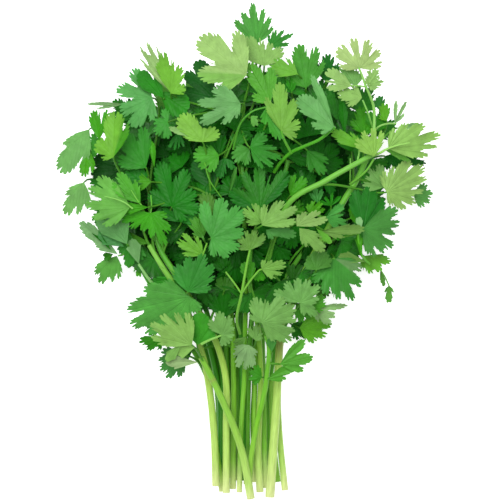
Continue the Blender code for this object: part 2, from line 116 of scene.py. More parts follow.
def skin(name, points, quads, triangles, colours, places, material, kind):
    """One piece of the bunch, as a closed skin from whole arrays: points in millimetres, faces as rows of
    corner numbers, and for every point its linear colour and its place on the plant, both kept as attributes
    that the material reads.  What would hang below the surface lies down on it: z becomes
    0.2 + ln(1 + e^(2 z - 0.4)) / 2.  The piece rides on root; kind is not used."""
    points = points.copy()
    points[:, 2] = 0.2 + 0.5 * np.logaddexp(0, (points[:, 2] - 0.2) / 0.5)
    mesh = bpy.data.meshes.new(name)
    corners = np.concatenate((quads.ravel(), triangles.ravel())).astype(np.int32)
    starts = np.concatenate((np.arange(len(quads)) * 4, len(quads) * 4 + np.arange(len(triangles)) * 3))
    mesh.vertices.add(len(points))
    mesh.vertices.foreach_set("co", (points * MILLIMETRE).astype(np.float32).ravel())
    mesh.loops.add(len(corners))
    mesh.loops.foreach_set("vertex_index", corners)
    mesh.polygons.add(len(starts))
    mesh.polygons.foreach_set("loop_start", starts.astype(np.int32))
    mesh.update(calc_edges=True)
    four = np.ones((len(points), 4), np.float32)
    four[:, :3] = colours
    mesh.attributes.new("colour", "FLOAT_COLOR", "POINT").data.foreach_set("color", four.ravel())
    mesh.attributes.new("place", "FLOAT_VECTOR", "POINT").data.foreach_set(
        "vector", np.asarray(places, np.float32).ravel())
    mesh.shade_smooth()
    mesh.set_sharp_from_angle(angle=math.radians(50))
    mesh.materials.append(material)
    piece = bpy.data.objects.new(name, mesh)
    bpy.context.scene.collection.objects.link(piece)
    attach(piece, "root")
    return piece


def smooth_run(points, count):
    """A Catmull-Rom curve through the points, read at count even steps."""
    p = np.array(points, float)
    p = np.vstack([2 * p[0] - p[1], p, 2 * p[-1] - p[-2]])
    t = np.linspace(0, len(points) - 1, count)
    i = np.minimum(t.astype(int), len(points) - 2)
    f = (t - i)[:, None]
    a, b, c, d = p[i], p[i + 1], p[i + 2], p[i + 3]
    return 0.5 * (2 * b + (c - a) * f + (2 * a - 5 * b + 4 * c - d) * f**2 + (3 * b - a - 3 * c + d) * f**3)


def way_along(points):
    """How far along a line of points each of them is."""
    return np.concatenate(([0], np.cumsum(np.linalg.norm(np.diff(points, axis=0), axis=1))))


def tube(run, radii, sides, rib=0.0, dish=0.0):
    """A round tube along run, closed at both ends.  At the angle a round it, its radius is radii times
    1 + rib cos 7a.  Each end is a ring drawn in to 0.6 of the radius and a middle point, dish deep.
    Gives points, quads, triangles and, for each point, (length from the start, angle, 1 at the ends)."""
    ahead = np.gradient(run, axis=0)
    ahead /= np.linalg.norm(ahead, axis=1)[:, None]
    upright = np.array((0.0, 0.0, 1.0)) if abs(ahead[:, 2]).mean() < 0.8 else np.array((1.0, 0.0, 0.0))
    aside = np.cross(ahead, upright)
    aside /= np.linalg.norm(aside, axis=1)[:, None]
    above = np.cross(aside, ahead)
    angle = np.arange(sides) * 2 * np.pi / sides
    ring = aside[:, None] * np.cos(angle)[None, :, None] + above[:, None] * np.sin(angle)[None, :, None]
    around = 1 + rib * np.cos(7 * angle)
    wall = run[:, None] + ring * (radii[:, None] * around)[:, :, None]
    foot = run[0] + ring[0] * (radii[0] * around * 0.6)[:, None] + ahead[0] * dish
    head = run[-1] + ring[-1] * (radii[-1] * around * 0.6)[:, None] - ahead[-1] * dish * 0.3
    rings = np.concatenate((foot[None], wall, head[None]))
    ends = np.stack((run[0] + ahead[0] * dish * 1.3, run[-1] - ahead[-1] * dish * 0.4))
    number = np.arange(rings.shape[0] * sides).reshape(rings.shape[0], sides)
    after = np.roll(number, -1, axis=1)
    quads = np.stack((number[:-1], after[:-1], after[1:], number[1:]), -1).reshape(-1, 4)
    first, last = number.size, number.size + 1
    caps = np.concatenate((
        np.stack((np.full(sides, first), after[0], number[0]), -1),
        np.stack((np.full(sides, last), number[-1], after[-1]), -1)))
    gone = way_along(run)
    gone = np.concatenate(([0], gone, [gone[-1]]))
    cut = np.concatenate(([1.0], np.zeros(len(run)), [1.0]))
    place = np.stack(np.broadcast_arrays(gone[:, None], angle[None], cut[:, None]), -1).reshape(-1, 3)
    place = np.concatenate((place, [(0, 0, 1), (gone[-1], 0, 1)]))
    return np.concatenate((rings.reshape(-1, 3), ends)), quads, caps, place


def plant_material(name, roughness, gloss):
    """A new material with its own roughness and gloss.  Gives it, its shader and a function that adds a node
    with the settings and inputs it is given, each input a number or the output of another node."""
    material = bpy.data.materials.new(name)
    material.use_nodes = True
    nodes, links = material.node_tree.nodes, material.node_tree.links
    shader = nodes["Principled BSDF"]
    shader.inputs["Roughness"].default_value = roughness
    shader.inputs["Specular IOR Level"].default_value = gloss

    def node(kind, inputs=(), **settings):
        made = nodes.new("ShaderNode" + kind)
        for setting, value in settings.items():
            setattr(made, setting, value)
        for socket, value in dict(inputs).items():
            if isinstance(value, bpy.types.NodeSocket):
                links.new(value, made.inputs[socket])
            else:
                made.inputs[socket].default_value = value
        return made

    return material, shader, node


def stem_skin():
    """Stem material: the piece's own colour, streaked along its length, with a moist, even gloss."""
    material, shader, node = plant_material("coriander stem", roughness=0.45, gloss=0.25)
    colour = node("Attribute", attribute_name="colour")
    where = node("Attribute", attribute_name="place")
    stretch = node("Mapping", {"Vector": where.outputs["Vector"], "Scale": (0.06, 1.6, 1.0)})
    streak = node("TexNoise", {"Vector": stretch.outputs["Vector"], "Scale": 2.2, "Detail": 3.0})
    shade = node("MapRange", {"Value": streak.outputs["Fac"], "From Min": 0.3, "From Max": 0.7,
                              "To Min": 0.72, "To Max": 1.0})
    tint = node("VectorMath", {0: colour.outputs["Color"], "Scale": shade.outputs["Result"]},
                operation="SCALE")
    material.node_tree.links.new(tint.outputs["Vector"], shader.inputs["Base Color"])
    return material


STEM_SKIN = stem_skin()
STEM_STEPS = 70
STEM_SIDES = 18
CUT_DISH = 0.7  # how deep the knife's face is dished
RIB = 0.03  # depth of the ribs, as a share of the radius
DEEP_RIB = {"stem_right_thick": 0.035}
# Where along its length a stem is swollen by a joint, and how much and over what share of its length.
JOINTS = {"stem_left_thick": 0.22, "stem_jointed": 0.13}
JOINT_SWELL, JOINT_LENGTH = 0.14, 0.012
# Where along its length a stem is brown from a bruise, and over what share of it.
BRUISE = (172, 140, 118)
BRUISES = {"stem_right_thick": (0.42, 0.04), "stem_crossing_left": (0.83, 0.012)}
# The shares of a stem's length where its sapwood, foot, middle and top colours stand.
COLOUR_STOPS = (0, 0.10, 0.45, 0.85)

STEM_RUNS = {}
for name, (at_cut, at_tip, greens, points) in STEMS.items():
    run = smooth_run(points, STEM_STEPS)
    STEM_RUNS[name] = run
    share = np.linspace(0, 1, STEM_STEPS)
    radii = at_cut + (at_tip - at_cut) * share
    if name in JOINTS:
        radii = radii * (1 + JOINT_SWELL * np.exp(-((share - JOINTS[name]) / JOINT_LENGTH) ** 2))
    points, quads, caps, place = tube(run, radii, STEM_SIDES, DEEP_RIB.get(name, RIB), CUT_DISH)
    along = place[:, 0] / place[:, 0].max()
    colours = np.stack([np.interp(along, COLOUR_STOPS, channel)
                        for channel in zip(*(linear(colour) for colour in (SAPWOOD, *greens)))], -1)
    if name in BRUISES:
        middle, breadth = BRUISES[name]
        brown = 0.6 * np.exp(-((along - middle) / breadth) ** 2)[:, None]
        colours += (linear(BRUISE) - colours) * brown
    on_cut_face = (place[:, 2:] > 0) & (along[:, None] < 0.5)
    colours = np.where(on_cut_face, linear(SAPWOOD), colours)
    piece = skin(name, points, quads, caps, colours, place, STEM_SKIN, "stem")
    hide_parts(name)

# ---------------------------------------------------------------------------------------- leaves
# Every leaf is a thin blade on a fine petiole.  The blade fans out from the petiole's end in wedge
# shaped lobes with rounded teeth; it is folded a little along each lobe's midrib, curls down to its
# tips and ripples at the margin.
BLADE = 0.32  # thickness
TOOTH = 2.7  # spacing of the teeth along the margin
TOOTH_DEPTH = 1.35  # of a common tooth, where a leaf's teeth are 1.0
DEEPEST_TOOTH = 0.3  # as a share of its lobe's width
SLIT_WIDTH = 0.5  # of the slits between every third pair of teeth
MARGIN_SPREAD = 0.25  # degrees between the rays that the margin is first read on
PETIOLE_GREEN = (100, 165, 62)
CROWN_MIDDLE = np.array((0.0, 30.0))
CROWN_HALF = np.array((85.0, 75.0))  # half its width and half its length


def lobed_reach(lobes, web, slits, random):
    """How far a blade reaches on even rays from its petiole's end: the rays' angles and the reach on each.

    A lobe (heading, length L, width W) is an ellipse of half length a = 0.36 L and half width b = 0.54 W,
    its middle c = L - a out along its heading.  At the angle d off its heading the far side of it stands
    at r = (B + sqrt(B^2 - A C)) / A, with A = cos^2 d / a^2 + sin^2 d / b^2, B = c cos d / a^2 and
    C = (c / a)^2 - 1.  The blade reaches as far as the farthest of its lobes, but never less than
    0.2 + 0.8 web of the length between them.  Where two lobes meet, a narrow cleft goes 0.4 to 0.95 of that
    far in, and a slit (angle, share) takes that share away.  A bell curve softens the whole."""
    heading, length, width = (np.array(column, float)[:, None] for column in zip(*lobes))
    a, b = 0.36 * length, 0.54 * width
    c = length - a
    opening = np.degrees(np.arctan(b / np.sqrt(c * c - a * a)))
    angle = np.arange((heading - opening).min(), (heading + opening).max(), MARGIN_SPREAD)
    d = np.radians(angle - heading)
    flat = np.cos(d) ** 2 / a**2 + np.sin(d) ** 2 / b**2
    along = c * np.cos(d) / a**2
    inside = along**2 - flat * ((c / a) ** 2 - 1)
    reach = np.where((inside > 0) & (np.cos(d) > 0), (along + np.sqrt(np.maximum(inside, 0))) / flat, 0)
    ruling = reach.argmax(0)
    least = (0.2 + 0.8 * web) * np.interp(angle, heading[:, 0], length[:, 0])
    reach = np.maximum(reach.max(0), least)
    clefts = [(angle[k], random.uniform(0.4, 0.95) * (1 - least[k] / reach[k]))
              for k in np.flatnonzero(np.diff(ruling))]
    for where, share in (*clefts, *slits):
        reach = reach * (1 - share * np.exp(-((angle - where) / 1.2) ** 2))
    bell = np.exp(-0.5 * (np.arange(-8, 9) / 2.6) ** 2)
    return angle, np.convolve(np.pad(reach, 8, mode="edge"), bell / bell.sum(), mode="valid")


def outline(lobes, web, depth, slits, random, step):
    """The margin of a blade as seen from its petiole's end: its points, counter-clockwise, and the angle and
    reach of each.  It is read at even steps of its own length.  Once for each TOOTH of it there is a notch
    by (1 - |sin|)^2, every second one deeper, 0.6 square to the margin and 0.5 towards the hub, and at every
    third a slit by e^-(s / SLIT_WIDTH)^2 up to 0.12 of the lobe's length.  Both fade in from 0.30 to 0.55 of
    the way out.  Last, no point may go back round the hub."""
    angle, reach = lobed_reach(lobes, web, slits, random)
    heading, length, width = (np.array(column, float) for column in zip(*lobes))
    turn = np.radians(angle)
    points = np.stack((reach * np.cos(turn), reach * np.sin(turn)), -1)
    points = np.vstack((points[0] * 0.3, points, points[-1] * 0.3))
    gone = way_along(points)
    count = int(max(16, gone[-1] / step))
    at = np.linspace(0, gone[-1], count)
    points = np.stack([np.interp(at, gone, points[:, axis]) for axis in (0, 1)], -1)
    ahead = np.gradient(points, axis=0)
    ahead /= np.linalg.norm(ahead, axis=1)[:, None] + 1e-9
    inward = np.stack((-ahead[:, 1], ahead[:, 0]), -1)
    out = np.linalg.norm(points, axis=1)
    back = -points / (out[:, None] + 1e-9)
    here = np.degrees(np.arctan2(points[:, 1], points[:, 0]))
    nearest = np.abs((here - heading[:, None] + 180) % 360 - 180).argmin(0)
    bare = np.clip((out / length[nearest] - 0.30) / 0.25, 0, 1)

    beat = at / TOOTH + 0.35 * np.sin(at / 5.1 + random.uniform(0, 6))
    number = np.round(beat + 2).astype(int) % 400
    deep = random.uniform(0.7, 1.3, 400)[number] + random.uniform(0.4, 1.3, 400)[number] * (number % 2)
    deep = np.minimum(TOOTH_DEPTH * depth * deep, DEEPEST_TOOTH * width[nearest])
    notch = deep * bare * (1 - np.abs(np.sin(math.pi * beat))) ** 2
    from_third = np.abs(np.sin(math.pi * beat / 3)) * 3 * TOOTH / math.pi
    slit = random.uniform(0.0, 0.12, 400)[np.round(beat / 3 + 2).astype(int)] * length[nearest]
    slit *= min(TOOTH_DEPTH * depth, 1) * bare * np.exp(-((from_third / SLIT_WIDTH) ** 2))
    points = points + (inward * 0.6 + back * 0.5) * notch[:, None] + back * slit[:, None]

    around = np.unwrap(np.arctan2(points[:, 1], points[:, 0]))
    highest, lowest = np.maximum.accumulate(around), np.minimum.accumulate(around[::-1])[::-1]
    around = 0.5 * (highest + lowest) + np.arange(count) * 1e-5
    out = np.linalg.norm(points, axis=1)
    return np.stack((out * np.cos(around), out * np.sin(around)), -1), around, out


def blade(hub, lobes, web=0.5, teeth=1.0, slits=(), lean=(0.0, 0.0), droop=0.10, crease=0.10, ruffle=0.4,
          seed=0, step=0.42, rows=(0.15, 0.32, 0.5, 0.67, 0.83, 1.0)):
    """A blade as a closed thin sheet.  Its upper face is a grid of rays from hub to the margin; at the
    distance r along a ray its height over the hub is lean.(dx, dy) - droop r^2 / L + crease r m^2, with m
    from 0 on a lobe's midrib to 1 at its side, plus a bend of each lobe's own, one slow wave round the
    blade, a ripple that grows with the cube of r / margin, fine puckers and broad ones.  The lower face is
    the same, BLADE below, and meets it at the margin.  Gives points, quads, triangles and, for each point,
    (length along its lobe's midrib, distance from it, more than 1 on a blade)."""
    random = np.random.default_rng(seed)
    edge, turn, reach = outline(lobes, web, teeth, slits, random, step)
    heading, length, width = (np.array(column, float) for column in zip(*lobes))
    half = np.arctan(width * 0.54 / (length * 0.53))  # the angle that half a lobe takes up
    off = np.abs(turn[:, None] - np.radians(heading)) / half
    ruling = off.argmin(1)
    m = np.minimum(off.min(1), 1)
    v = np.array(rows)[:, None]
    r = v * reach
    dx, dy = v * edge[:, 0], v * edge[:, 1]
    own_bend = np.interp(np.degrees(turn), heading, random.uniform(-0.10, 0.10, len(lobes)))
    wave, phase = random.uniform(5.0, 8.0), random.uniform(0, 6.28, 4)
    around = turn - turn[0]
    z = (lean[0] * dx + lean[1] * dy + (own_bend - droop) * r**2 / length.max() + crease * r * m**2
         + 0.06 * r * np.sin(2 * turn + phase[3])
         + ruffle * v**3 * np.sin(around * length.mean() * 2 * np.pi / wave + phase[0])
         + 0.14 * v * np.sin(dx / 1.7 + phase[1]) * np.sin(dy / 1.9 + phase[2])
         + 0.45 * v * np.sin(dx / 3.3 + phase[2]) * np.sin(dy / 3.7 + phase[0]))
    upper = np.stack((dx, dy, z), -1)
    lower = upper[:-1, 1:-1] - (0, 0, BLADE)
    height, across = upper.shape[:2]
    top = np.arange(height * across).reshape(height, across)
    under = top.copy()
    under[:-1, 1:-1] = top.size + np.arange(lower[..., 0].size).reshape(lower.shape[:2])
    middle = top.size + lower[..., 0].size
    quads = np.concatenate((
        np.stack((top[:-1, :-1], top[1:, :-1], top[1:, 1:], top[:-1, 1:]), -1).reshape(-1, 4),
        np.stack((under[:-1, :-1], under[:-1, 1:], under[1:, 1:], under[1:, :-1]), -1).reshape(-1, 4)))
    fans = np.concatenate((
        np.stack((np.full(across - 1, middle), top[0, :-1], top[0, 1:]), -1),
        np.stack((np.full(across - 1, middle), under[0, 1:], under[0, :-1]), -1)))
    points = np.concatenate((upper.reshape(-1, 3), lower.reshape(-1, 3), [(0, 0, 0)]))
    points += np.asarray(hub, float)
    away = turn - np.radians(heading[ruling])
    mid = np.stack((r * np.cos(away), r * np.sin(away), np.broadcast_to(ruling * 7.0 + 3, r.shape)), -1)
    place = np.concatenate((mid.reshape(-1, 3), mid[:-1, 1:-1].reshape(-1, 3), [(0, 0, 3)]))
    return points, quads, fans, place


def gather(parts):
    """Several skins as one: (points, quads, triangles, colours, places) with the corner numbers moved up."""
    moved, far = [], 0
    for points, quads, triangles, colours, places in parts:
        colours = np.broadcast_to(colours, (len(points), 3))
        moved.append((points, quads + far, triangles + far, colours, places))
        far += len(points)
    return [np.concatenate(column) for column in zip(*moved)]


def petiole(start, run_ahead, hub, heading, rise, thick=0.9, thin=0.5):
    """A petiole: a cubic curve that leaves start along run_ahead and comes up to the hub from behind and
    below, the steeper the larger rise is, as a fine tube."""
    start, hub = np.asarray(start, float), np.asarray(hub, float)
    far = np.linalg.norm(hub - start)
    forward = np.array((math.cos(math.radians(heading)), math.sin(math.radians(heading)), rise))
    forward /= np.linalg.norm(forward)
    a, b = start + run_ahead * far * 0.30, hub - forward * far * 0.38
    t = np.linspace(0, 1, 14)[:, None]
    run = start * (1 - t) ** 3 + a * 3 * t * (1 - t) ** 2 + b * 3 * t * t * (1 - t) + hub * t**3
    return tube(run, np.linspace(thick, thin, 14), 8)


# The lobules of a finely cut leaf's segment: turned off its rib, and long and wide as shares of it.
LOBULES = ((-28, 0.60, 0.4), (-13, 0.78, 0.4), (0, 0.92, 0.45), (13, 0.78, 0.4), (28, 0.60, 0.4))


def pinna(hub, lobe, lean, seed):
    """One segment of a finely cut leaf: a small toothed blade that starts a tenth of the way out along its
    own rib, and that rib."""
    heading, length, width = lobe
    h = math.radians(heading)
    out = np.array((math.cos(h), math.sin(h), lean[0] * math.cos(h) + lean[1] * math.sin(h)))
    foot = np.asarray(hub, float) + out * length * 0.10
    lobes = [(heading + turn, length * long, width * wide) for turn, long, wide in LOBULES]
    small = blade(foot, lobes, web=0.6, teeth=0.4, crease=0.03, lean=lean, seed=seed, step=0.4,
                  rows=(0.3, 0.6, 0.85, 1.0))
    rib = tube(np.linspace(hub, foot + out * length * 0.12, 5), np.linspace(0.5, 0.35, 5), 6)
    rib[3][:, 2] = 3
    return small, rib


def leaf_skin():
    """Leaf material: the leaf's own colour, mottled and paler along its veins, with a soft waxy gloss and a
    vein relief.  A vein is a line along the midrib, and side veins leave it every 2.9 mm at a slant."""
    material, shader, node = plant_material("coriander leaf", roughness=0.5, gloss=0.14)

    def maths(operation, *values):
        return node("Math", dict(enumerate(values)), operation=operation).outputs[0]

    colour = node("Attribute", attribute_name="colour")
    where = node("Attribute", attribute_name="place")
    split = node("SeparateXYZ", {0: where.outputs["Vector"]})
    along, across = split.outputs[0], maths("ABSOLUTE", split.outputs[1])
    midrib = maths("MAXIMUM", maths("SUBTRACT", 1.0, maths("DIVIDE", across, 0.34)), 0.0)
    side = maths("FRACT", maths("DIVIDE", maths("SUBTRACT", along, maths("MULTIPLY", across, 1.2)), 2.9))
    side = maths("SUBTRACT", 1.0, maths("DIVIDE", maths("ABSOLUTE", maths("SUBTRACT", side, 0.5)), 0.10))
    side = maths("MULTIPLY", maths("MAXIMUM", side, 0.0), 0.55)
    on_blade = maths("GREATER_THAN", split.outputs[2], 1.5)
    vein = maths("MULTIPLY", maths("MAXIMUM", midrib, side), on_blade)
    place = node("TexCoord").outputs["Object"]
    mottle = node("TexNoise", {"Vector": place, "Scale": 260.0, "Detail": 4.0}).outputs["Fac"]
    broad = node("TexNoise", {"Vector": place, "Scale": 70.0}).outputs["Fac"]
    level = maths("ADD", maths("MULTIPLY", mottle, 0.50), maths("MULTIPLY", broad, 0.60))
    level = maths("ADD", maths("ADD", level, 0.44), maths("MULTIPLY", vein, 0.16))
    level = maths("MULTIPLY", level, 0.62)
    tint = node("VectorMath", {0: colour.outputs["Color"], "Scale": level}, operation="SCALE")
    raised = maths("SUBTRACT", maths("MULTIPLY", mottle, 0.6), vein)
    relief = node("Bump", {"Height": raised, "Strength": 0.5, "Distance": 0.0006})
    material.node_tree.links.new(tint.outputs["Vector"], shader.inputs["Base Color"])
    material.node_tree.links.new(relief.outputs["Normal"], shader.inputs["Normal"])
    return material


LEAF_SKIN = leaf_skin()
LEAVES_MADE = []


def nearest_stem(spot):
    """The run of the stem that comes nearest to spot, and the step of it that does, past its first 20."""
    picks = [(run, 20 + int(np.linalg.norm(run[20:] - spot, axis=1).argmin())) for run in STEM_RUNS.values()]
    return min(picks, key=lambda pick: np.linalg.norm(pick[0][pick[1]] - spot))


def leaf(name, hub, colour, lobes, stem=None, at=1.0, patch=None, lean=None, rise=2.2, pinnate=False,
         **shape):
    """One leaf as one piece: its blade, which fans out from hub, and its petiole from the stem that carries
    it.  A leaf that names its stem grows at the share at of its length, and stands for the frame's leaf of
    the same name.  The others grow from the nearest stem behind and below them.  A leaf whose rise is None
    has no petiole of its own.  Without a lean of its own a leaf faces up and a little away from the crown's
    middle.  patch is (heading, half width, colour) of a part of the blade that has another colour."""
    seed = len(LEAVES_MADE) * 7 + 11
    random = np.random.default_rng(seed)
    LEAVES_MADE.append(name)
    hub = np.array(hub, float)
    if lean is None:
        out = (hub[:2] - CROWN_MIDDLE) / 95
        lean = -0.30 * out + random.uniform(-0.10, 0.10, 2)
    if pinnate:
        made = [pinna(hub, lobe, lean, seed + k) for k, lobe in enumerate(lobes)]
        made = [(*part[:3], (0, 0, 0), part[3]) for pair in made for part in pair]
        points, quads, fans, _, place = gather(made)
    else:
        points, quads, fans, place = blade(hub, lobes, lean=lean, seed=seed, **shape)
    colours = np.broadcast_to(linear(colour), (len(points), 3)).copy()
    if patch:
        middle, half, other = patch
        towards = np.degrees(np.arctan2(points[:, 1] - hub[1], points[:, 0] - hub[0]))
        off = np.abs((towards - middle + 180) % 360 - 180)
        mix = np.clip((half - off) / 8 + 0.5, 0, 1)[:, None]
        colours += (linear(other) - colours) * mix
    parts = [(points, quads, fans, colours, place)]
    if rise is not None:  # the mean way of the lobes is the petiole's way too
        headings, lengths, _ = (np.array(column, float) for column in zip(*lobes))
        ways = np.stack((np.cos(np.radians(headings)), np.sin(np.radians(headings))))
        mean = ways @ lengths / lengths.sum()
        heading = math.degrees(math.atan2(mean[1], mean[0]))
        if stem:
            run = STEM_RUNS[stem]
            step = int(at * (len(run) - 1))
        else:
            run, step = nearest_stem(hub - (*mean * 26, 12))
        step = min(step, len(run) - 2)
        ahead = run[step + 1] - run[step]
        ahead = ahead / np.linalg.norm(ahead)
        points, quads, fans, place = petiole(run[step], ahead, hub - (0, 0, 0.3), heading, rise)
        place[:, 2] = 0  # a petiole has no veins
        parts.append((points, quads, fans, linear(PETIOLE_GREEN), place))
    piece = skin(name, *gather(parts), LEAF_SKIN, "leaf")
    if stem:
        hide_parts(name)


# ------------------------------------------------------------------------------ top
# Leaves of the top of the crown, from the finely cut tip down to the two high ones over its middle.
# They are thin, soft, green blades.  The pale ones lie highest, and most of them grow on a petiole of
# their own from one of the long stems.
leaf("leaf_top_tip", (4, 124.5, 36), (94, 168, 90), ((49, 15, 5), (64, 19, 5.5), (79, 22.5, 5),
     (96, 26, 6), (114, 21.5, 6), (132, 20, 6), (150, 13, 4.5)), web=0.35, teeth=0.8,
     stem="stem_under_top")
leaf("leaf_top_frond", (12, 123, 34), (75, 155, 80), ((-5, 9, 2.5), (8, 12, 3.5), (30, 16.5, 3.5),
     (50, 13.5, 3), (70, 11, 3.5), (92, 8, 2.5)), web=0.3)
leaf("leaf_top_left_pale", (-2, 104, 62), (165, 207, 132), ((103, 28, 10), (141, 37, 18), (178, 29.5, 12),
     (202, 18.5, 9.5)), web=0.35, stem="stem_centre", patch=(200, 25, (140, 195, 105)),
     slits=((120, 0.45), (159, 0.4)))
leaf("leaf_top_centre_pale", (8.5, 110, 51), (152, 200, 120), ((45, 15.5, 8.5), (75, 15, 8),
     (105, 18, 8.5), (128, 21.5, 14.5)), web=0.4, stem="stem_centre", at=0.93)
leaf("leaf_top_curled", (0, 105.5, 56), (110, 178, 72), ((85, 7, 6), (120, 7.5, 7)), web=0.7)
leaf("leaf_top_right_lime", (28.5, 105, 52), (120, 188, 75), ((135, 13, 7), (160, 18, 11.5)), web=0.4)
leaf("leaf_upper_middle", (12, 87.5, 60), (100, 178, 68), ((90, 21.5, 8.5), (118, 25, 11.5),
     (150, 12, 8.5)), web=0.35, stem="stem_centre", at=0.86)
leaf("leaf_drooping_middle", (10, 84.5, 70), (78, 165, 62), ((262, 10.5, 6), (295, 21.5, 9.5)), web=0.6,
     rise=None)
leaf("leaf_upper_grey_small", (0.5, 79, 72), (110, 180, 90), ((300, 7, 4.5), (335, 4.5, 3.5)), web=0.7,
     rise=None)
leaf("leaf_upper_right_dark", (33.5, 97, 46), (88, 165, 72), ((58, 20.5, 7), (76, 26.5, 8.5),
     (98, 27.5, 11.5), (132, 15.5, 9.5)), web=0.45, stem="stem_under_top_right")
leaf("leaf_top_right_deep", (46, 101, 38), (35, 118, 50), ((60, 14.5, 7), (85, 18, 9.5), (110, 14.5, 7)))
leaf("leaf_top_spiky", (25, 94.5, 48), (60, 150, 35), ((75, 7, 3), (92, 9.5, 3), (110, 8.5, 3)), web=0.3)
leaf("leaf_centre_high", (18.5, 70, 74), (132, 188, 88), ((-8, 10, 8.5), (32, 12.5, 10.5), (68, 21, 9.5),
     (92, 29.5, 10), (113, 22.5, 7)), web=0.35, stem="stem_inner_right", rise=None)
leaf("leaf_folded_grey", (49.5, 72.5, 77), (120, 184, 122), ((113, 34, 5.5), (140, 28, 12), (165, 14, 9),
     (195, 9.5, 6)), web=0.35, stem="stem_inner_right", at=0.88, rise=None)

# ------------------------------------------------------------------------------ upper left
# Leaves of the upper left of the crown: broad pale blades on top, and between them smaller, darker ones
# of the same thin, soft stuff, some of them seen edge on or folded into fingers.
leaf("leaf_upper_grey", (-5.5, 86.5, 73), (122, 178, 126), ((152, 19, 10.5), (178, 26, 7), (205, 27, 8.5),
     (217, 17.5, 10), (235, 10.5, 7)), web=0.4, stem="stem_centre_left", at=0.96)
leaf("leaf_top_left_deep", (-21, 91, 45), (35, 100, 50), ((115, 26, 11), (138, 24.5, 9.5),
     (165, 19, 14.5)), teeth=0.4)
leaf("leaf_upper_left_lime", (-47, 93, 62), (122, 185, 68), ((30, 9.5, 8.5), (80, 18, 12),
     (102, 26, 11.5)), web=0.4, stem="stem_under_top_left", slits=((92, 0.3),))
leaf("leaf_upper_left_fingers", (-47, 93.5, 60), (165, 205, 140), ((109, 31.5, 4), (116, 35, 6),
     (123, 34.5, 5.5), (131, 29, 3.5)), web=0.3)
leaf("leaf_upper_left_grass", (-51.5, 90.5, 56), (55, 150, 45), ((115, 19, 6), (133, 22.5, 10.5)),
     web=0.4, teeth=0.4)
leaf("leaf_upper_left_smooth", (-54, 94.5, 52), (55, 150, 40), ((-35, 20.5, 14.5),), web=0.6, teeth=0.3)
leaf("leaf_upper_left_broad", (-58.5, 91, 51), (104, 180, 112), ((125, 22, 10), (165, 22.5, 11),
     (205, 21, 14.5), (232, 21.5, 12), (255, 14.5, 11)), web=0.4, stem="stem_left_thick",
     slits=((145, 0.35), (182, 0.3)))
leaf("leaf_left_edge_on", (-75, 88, 40), (150, 190, 150), ((179, 24, 2.5), (188, 18, 2)), teeth=0.3,
     rise=None)
leaf("leaf_upper_small", (-49, 76, 60), (80, 165, 80), ((105, 8.5, 5.5), (185, 8.5, 6.5),
     (225, 10.5, 7.5), (265, 10, 7)), web=0.45)
leaf("leaf_upper_narrow", (-34.5, 67, 64), (150, 200, 130), ((157, 15, 3.5),), teeth=0.3, rise=None)
leaf("leaf_upper_star", (-43, 70.5, 50), (50, 140, 60), ((240, 11, 3), (258, 11, 3), (272, 10, 3),
     (290, 9.5, 3)), web=0.3)
leaf("leaf_upper_lime", (-28, 64, 66), (135, 192, 85), ((40, 12, 9), (130, 21.5, 12.5), (150, 14, 7)),
     web=0.4, stem="stem_centre_left")
leaf("leaf_upper_round", (-18.5, 56.5, 58), (88, 175, 62), ((155, 10.5, 6), (182, 15.5, 11.5),
     (207, 14.5, 8.5), (232, 12, 8.5)), web=0.6)
leaf("leaf_middle_star", (-15.5, 55, 50), (50, 135, 60), ((238, 9.5, 5), (255, 12.5, 7), (315, 9, 5)),
     web=0.3)
leaf("leaf_middle_back", (-8.5, 61.5, 52), (60, 140, 50), ((60, 10, 8.5), (95, 8.5, 6)))
leaf("leaf_middle_small", (-0.5, 60.5, 54), (88, 160, 80), ((180, 9, 5.5), (215, 12, 9), (250, 10.5, 7)))
leaf("leaf_middle_forked", (0, 61, 62), (68, 148, 66), ((-52, 15.5, 7), (-40, 18, 6), (-20, 20, 6),
     (-5, 16.5, 5.5), (40, 12.5, 8.5)), web=0.3)
leaf("leaf_olive_behind", (-22.5, 20.5, 52), (105, 155, 75), ((112, 15, 9.5),), web=0.6)
leaf("leaf_blue_smooth", (-21.5, 35, 46), (40, 110, 55), ((95, 18, 8.5), (118, 23, 13)), web=0.6,
     teeth=0.3)
leaf("leaf_middle_edge_on", (-13, 31.5, 54), (90, 150, 80), ((75, 19, 2.5),), web=0.6, teeth=0.2,
     rise=None)

# ------------------------------------------------------------------------------ left
# Leaves of the left side of the crown, from bright grass green to a bluish grey where a blade turns its
# waxy underside up.  They grow from the left stems, hang out over the edge and droop.
leaf("leaf_left_grass", (-90.5, 66, 45), (75, 165, 28), ((75, 19, 5), (100, 18.5, 8.5)), web=0.4)
leaf("leaf_left_lime", (-81, 55, 66), (122, 190, 68), ((68, 22.5, 7), (88, 27.5, 13.5), (132, 14, 12),
     (165, 7.5, 7)), web=0.45, stem="stem_left_thick", at=0.9, patch=(60, 14, (85, 165, 40)))
leaf("leaf_left_edge", (-97, 73, 34), (124, 187, 116), ((219, 21, 9), (236, 32, 13.5), (256, 23.5, 9)),
     stem="stem_under_left")
leaf("leaf_left_small", (-90.5, 60.5, 38), (70, 150, 60), ((115, 11, 7), (150, 9.5, 6), (200, 8.5, 7)))
leaf("leaf_left_hanging", (-97.5, 61.5, 36), (85, 170, 30), ((262, 18, 7), (278, 15.5, 5.5)), web=0.6)
leaf("leaf_left_deep", (-77.5, 49.5, 30), (15, 80, 15), ((165, 19.5, 11), (190, 19.5, 9.5),
     (218, 15.5, 8.5)), web=0.6, teeth=0.4)
leaf("leaf_left_mid", (-62, 38, 52), (40, 134, 42), ((110, 12, 7), (140, 15.5, 12)), web=0.6)
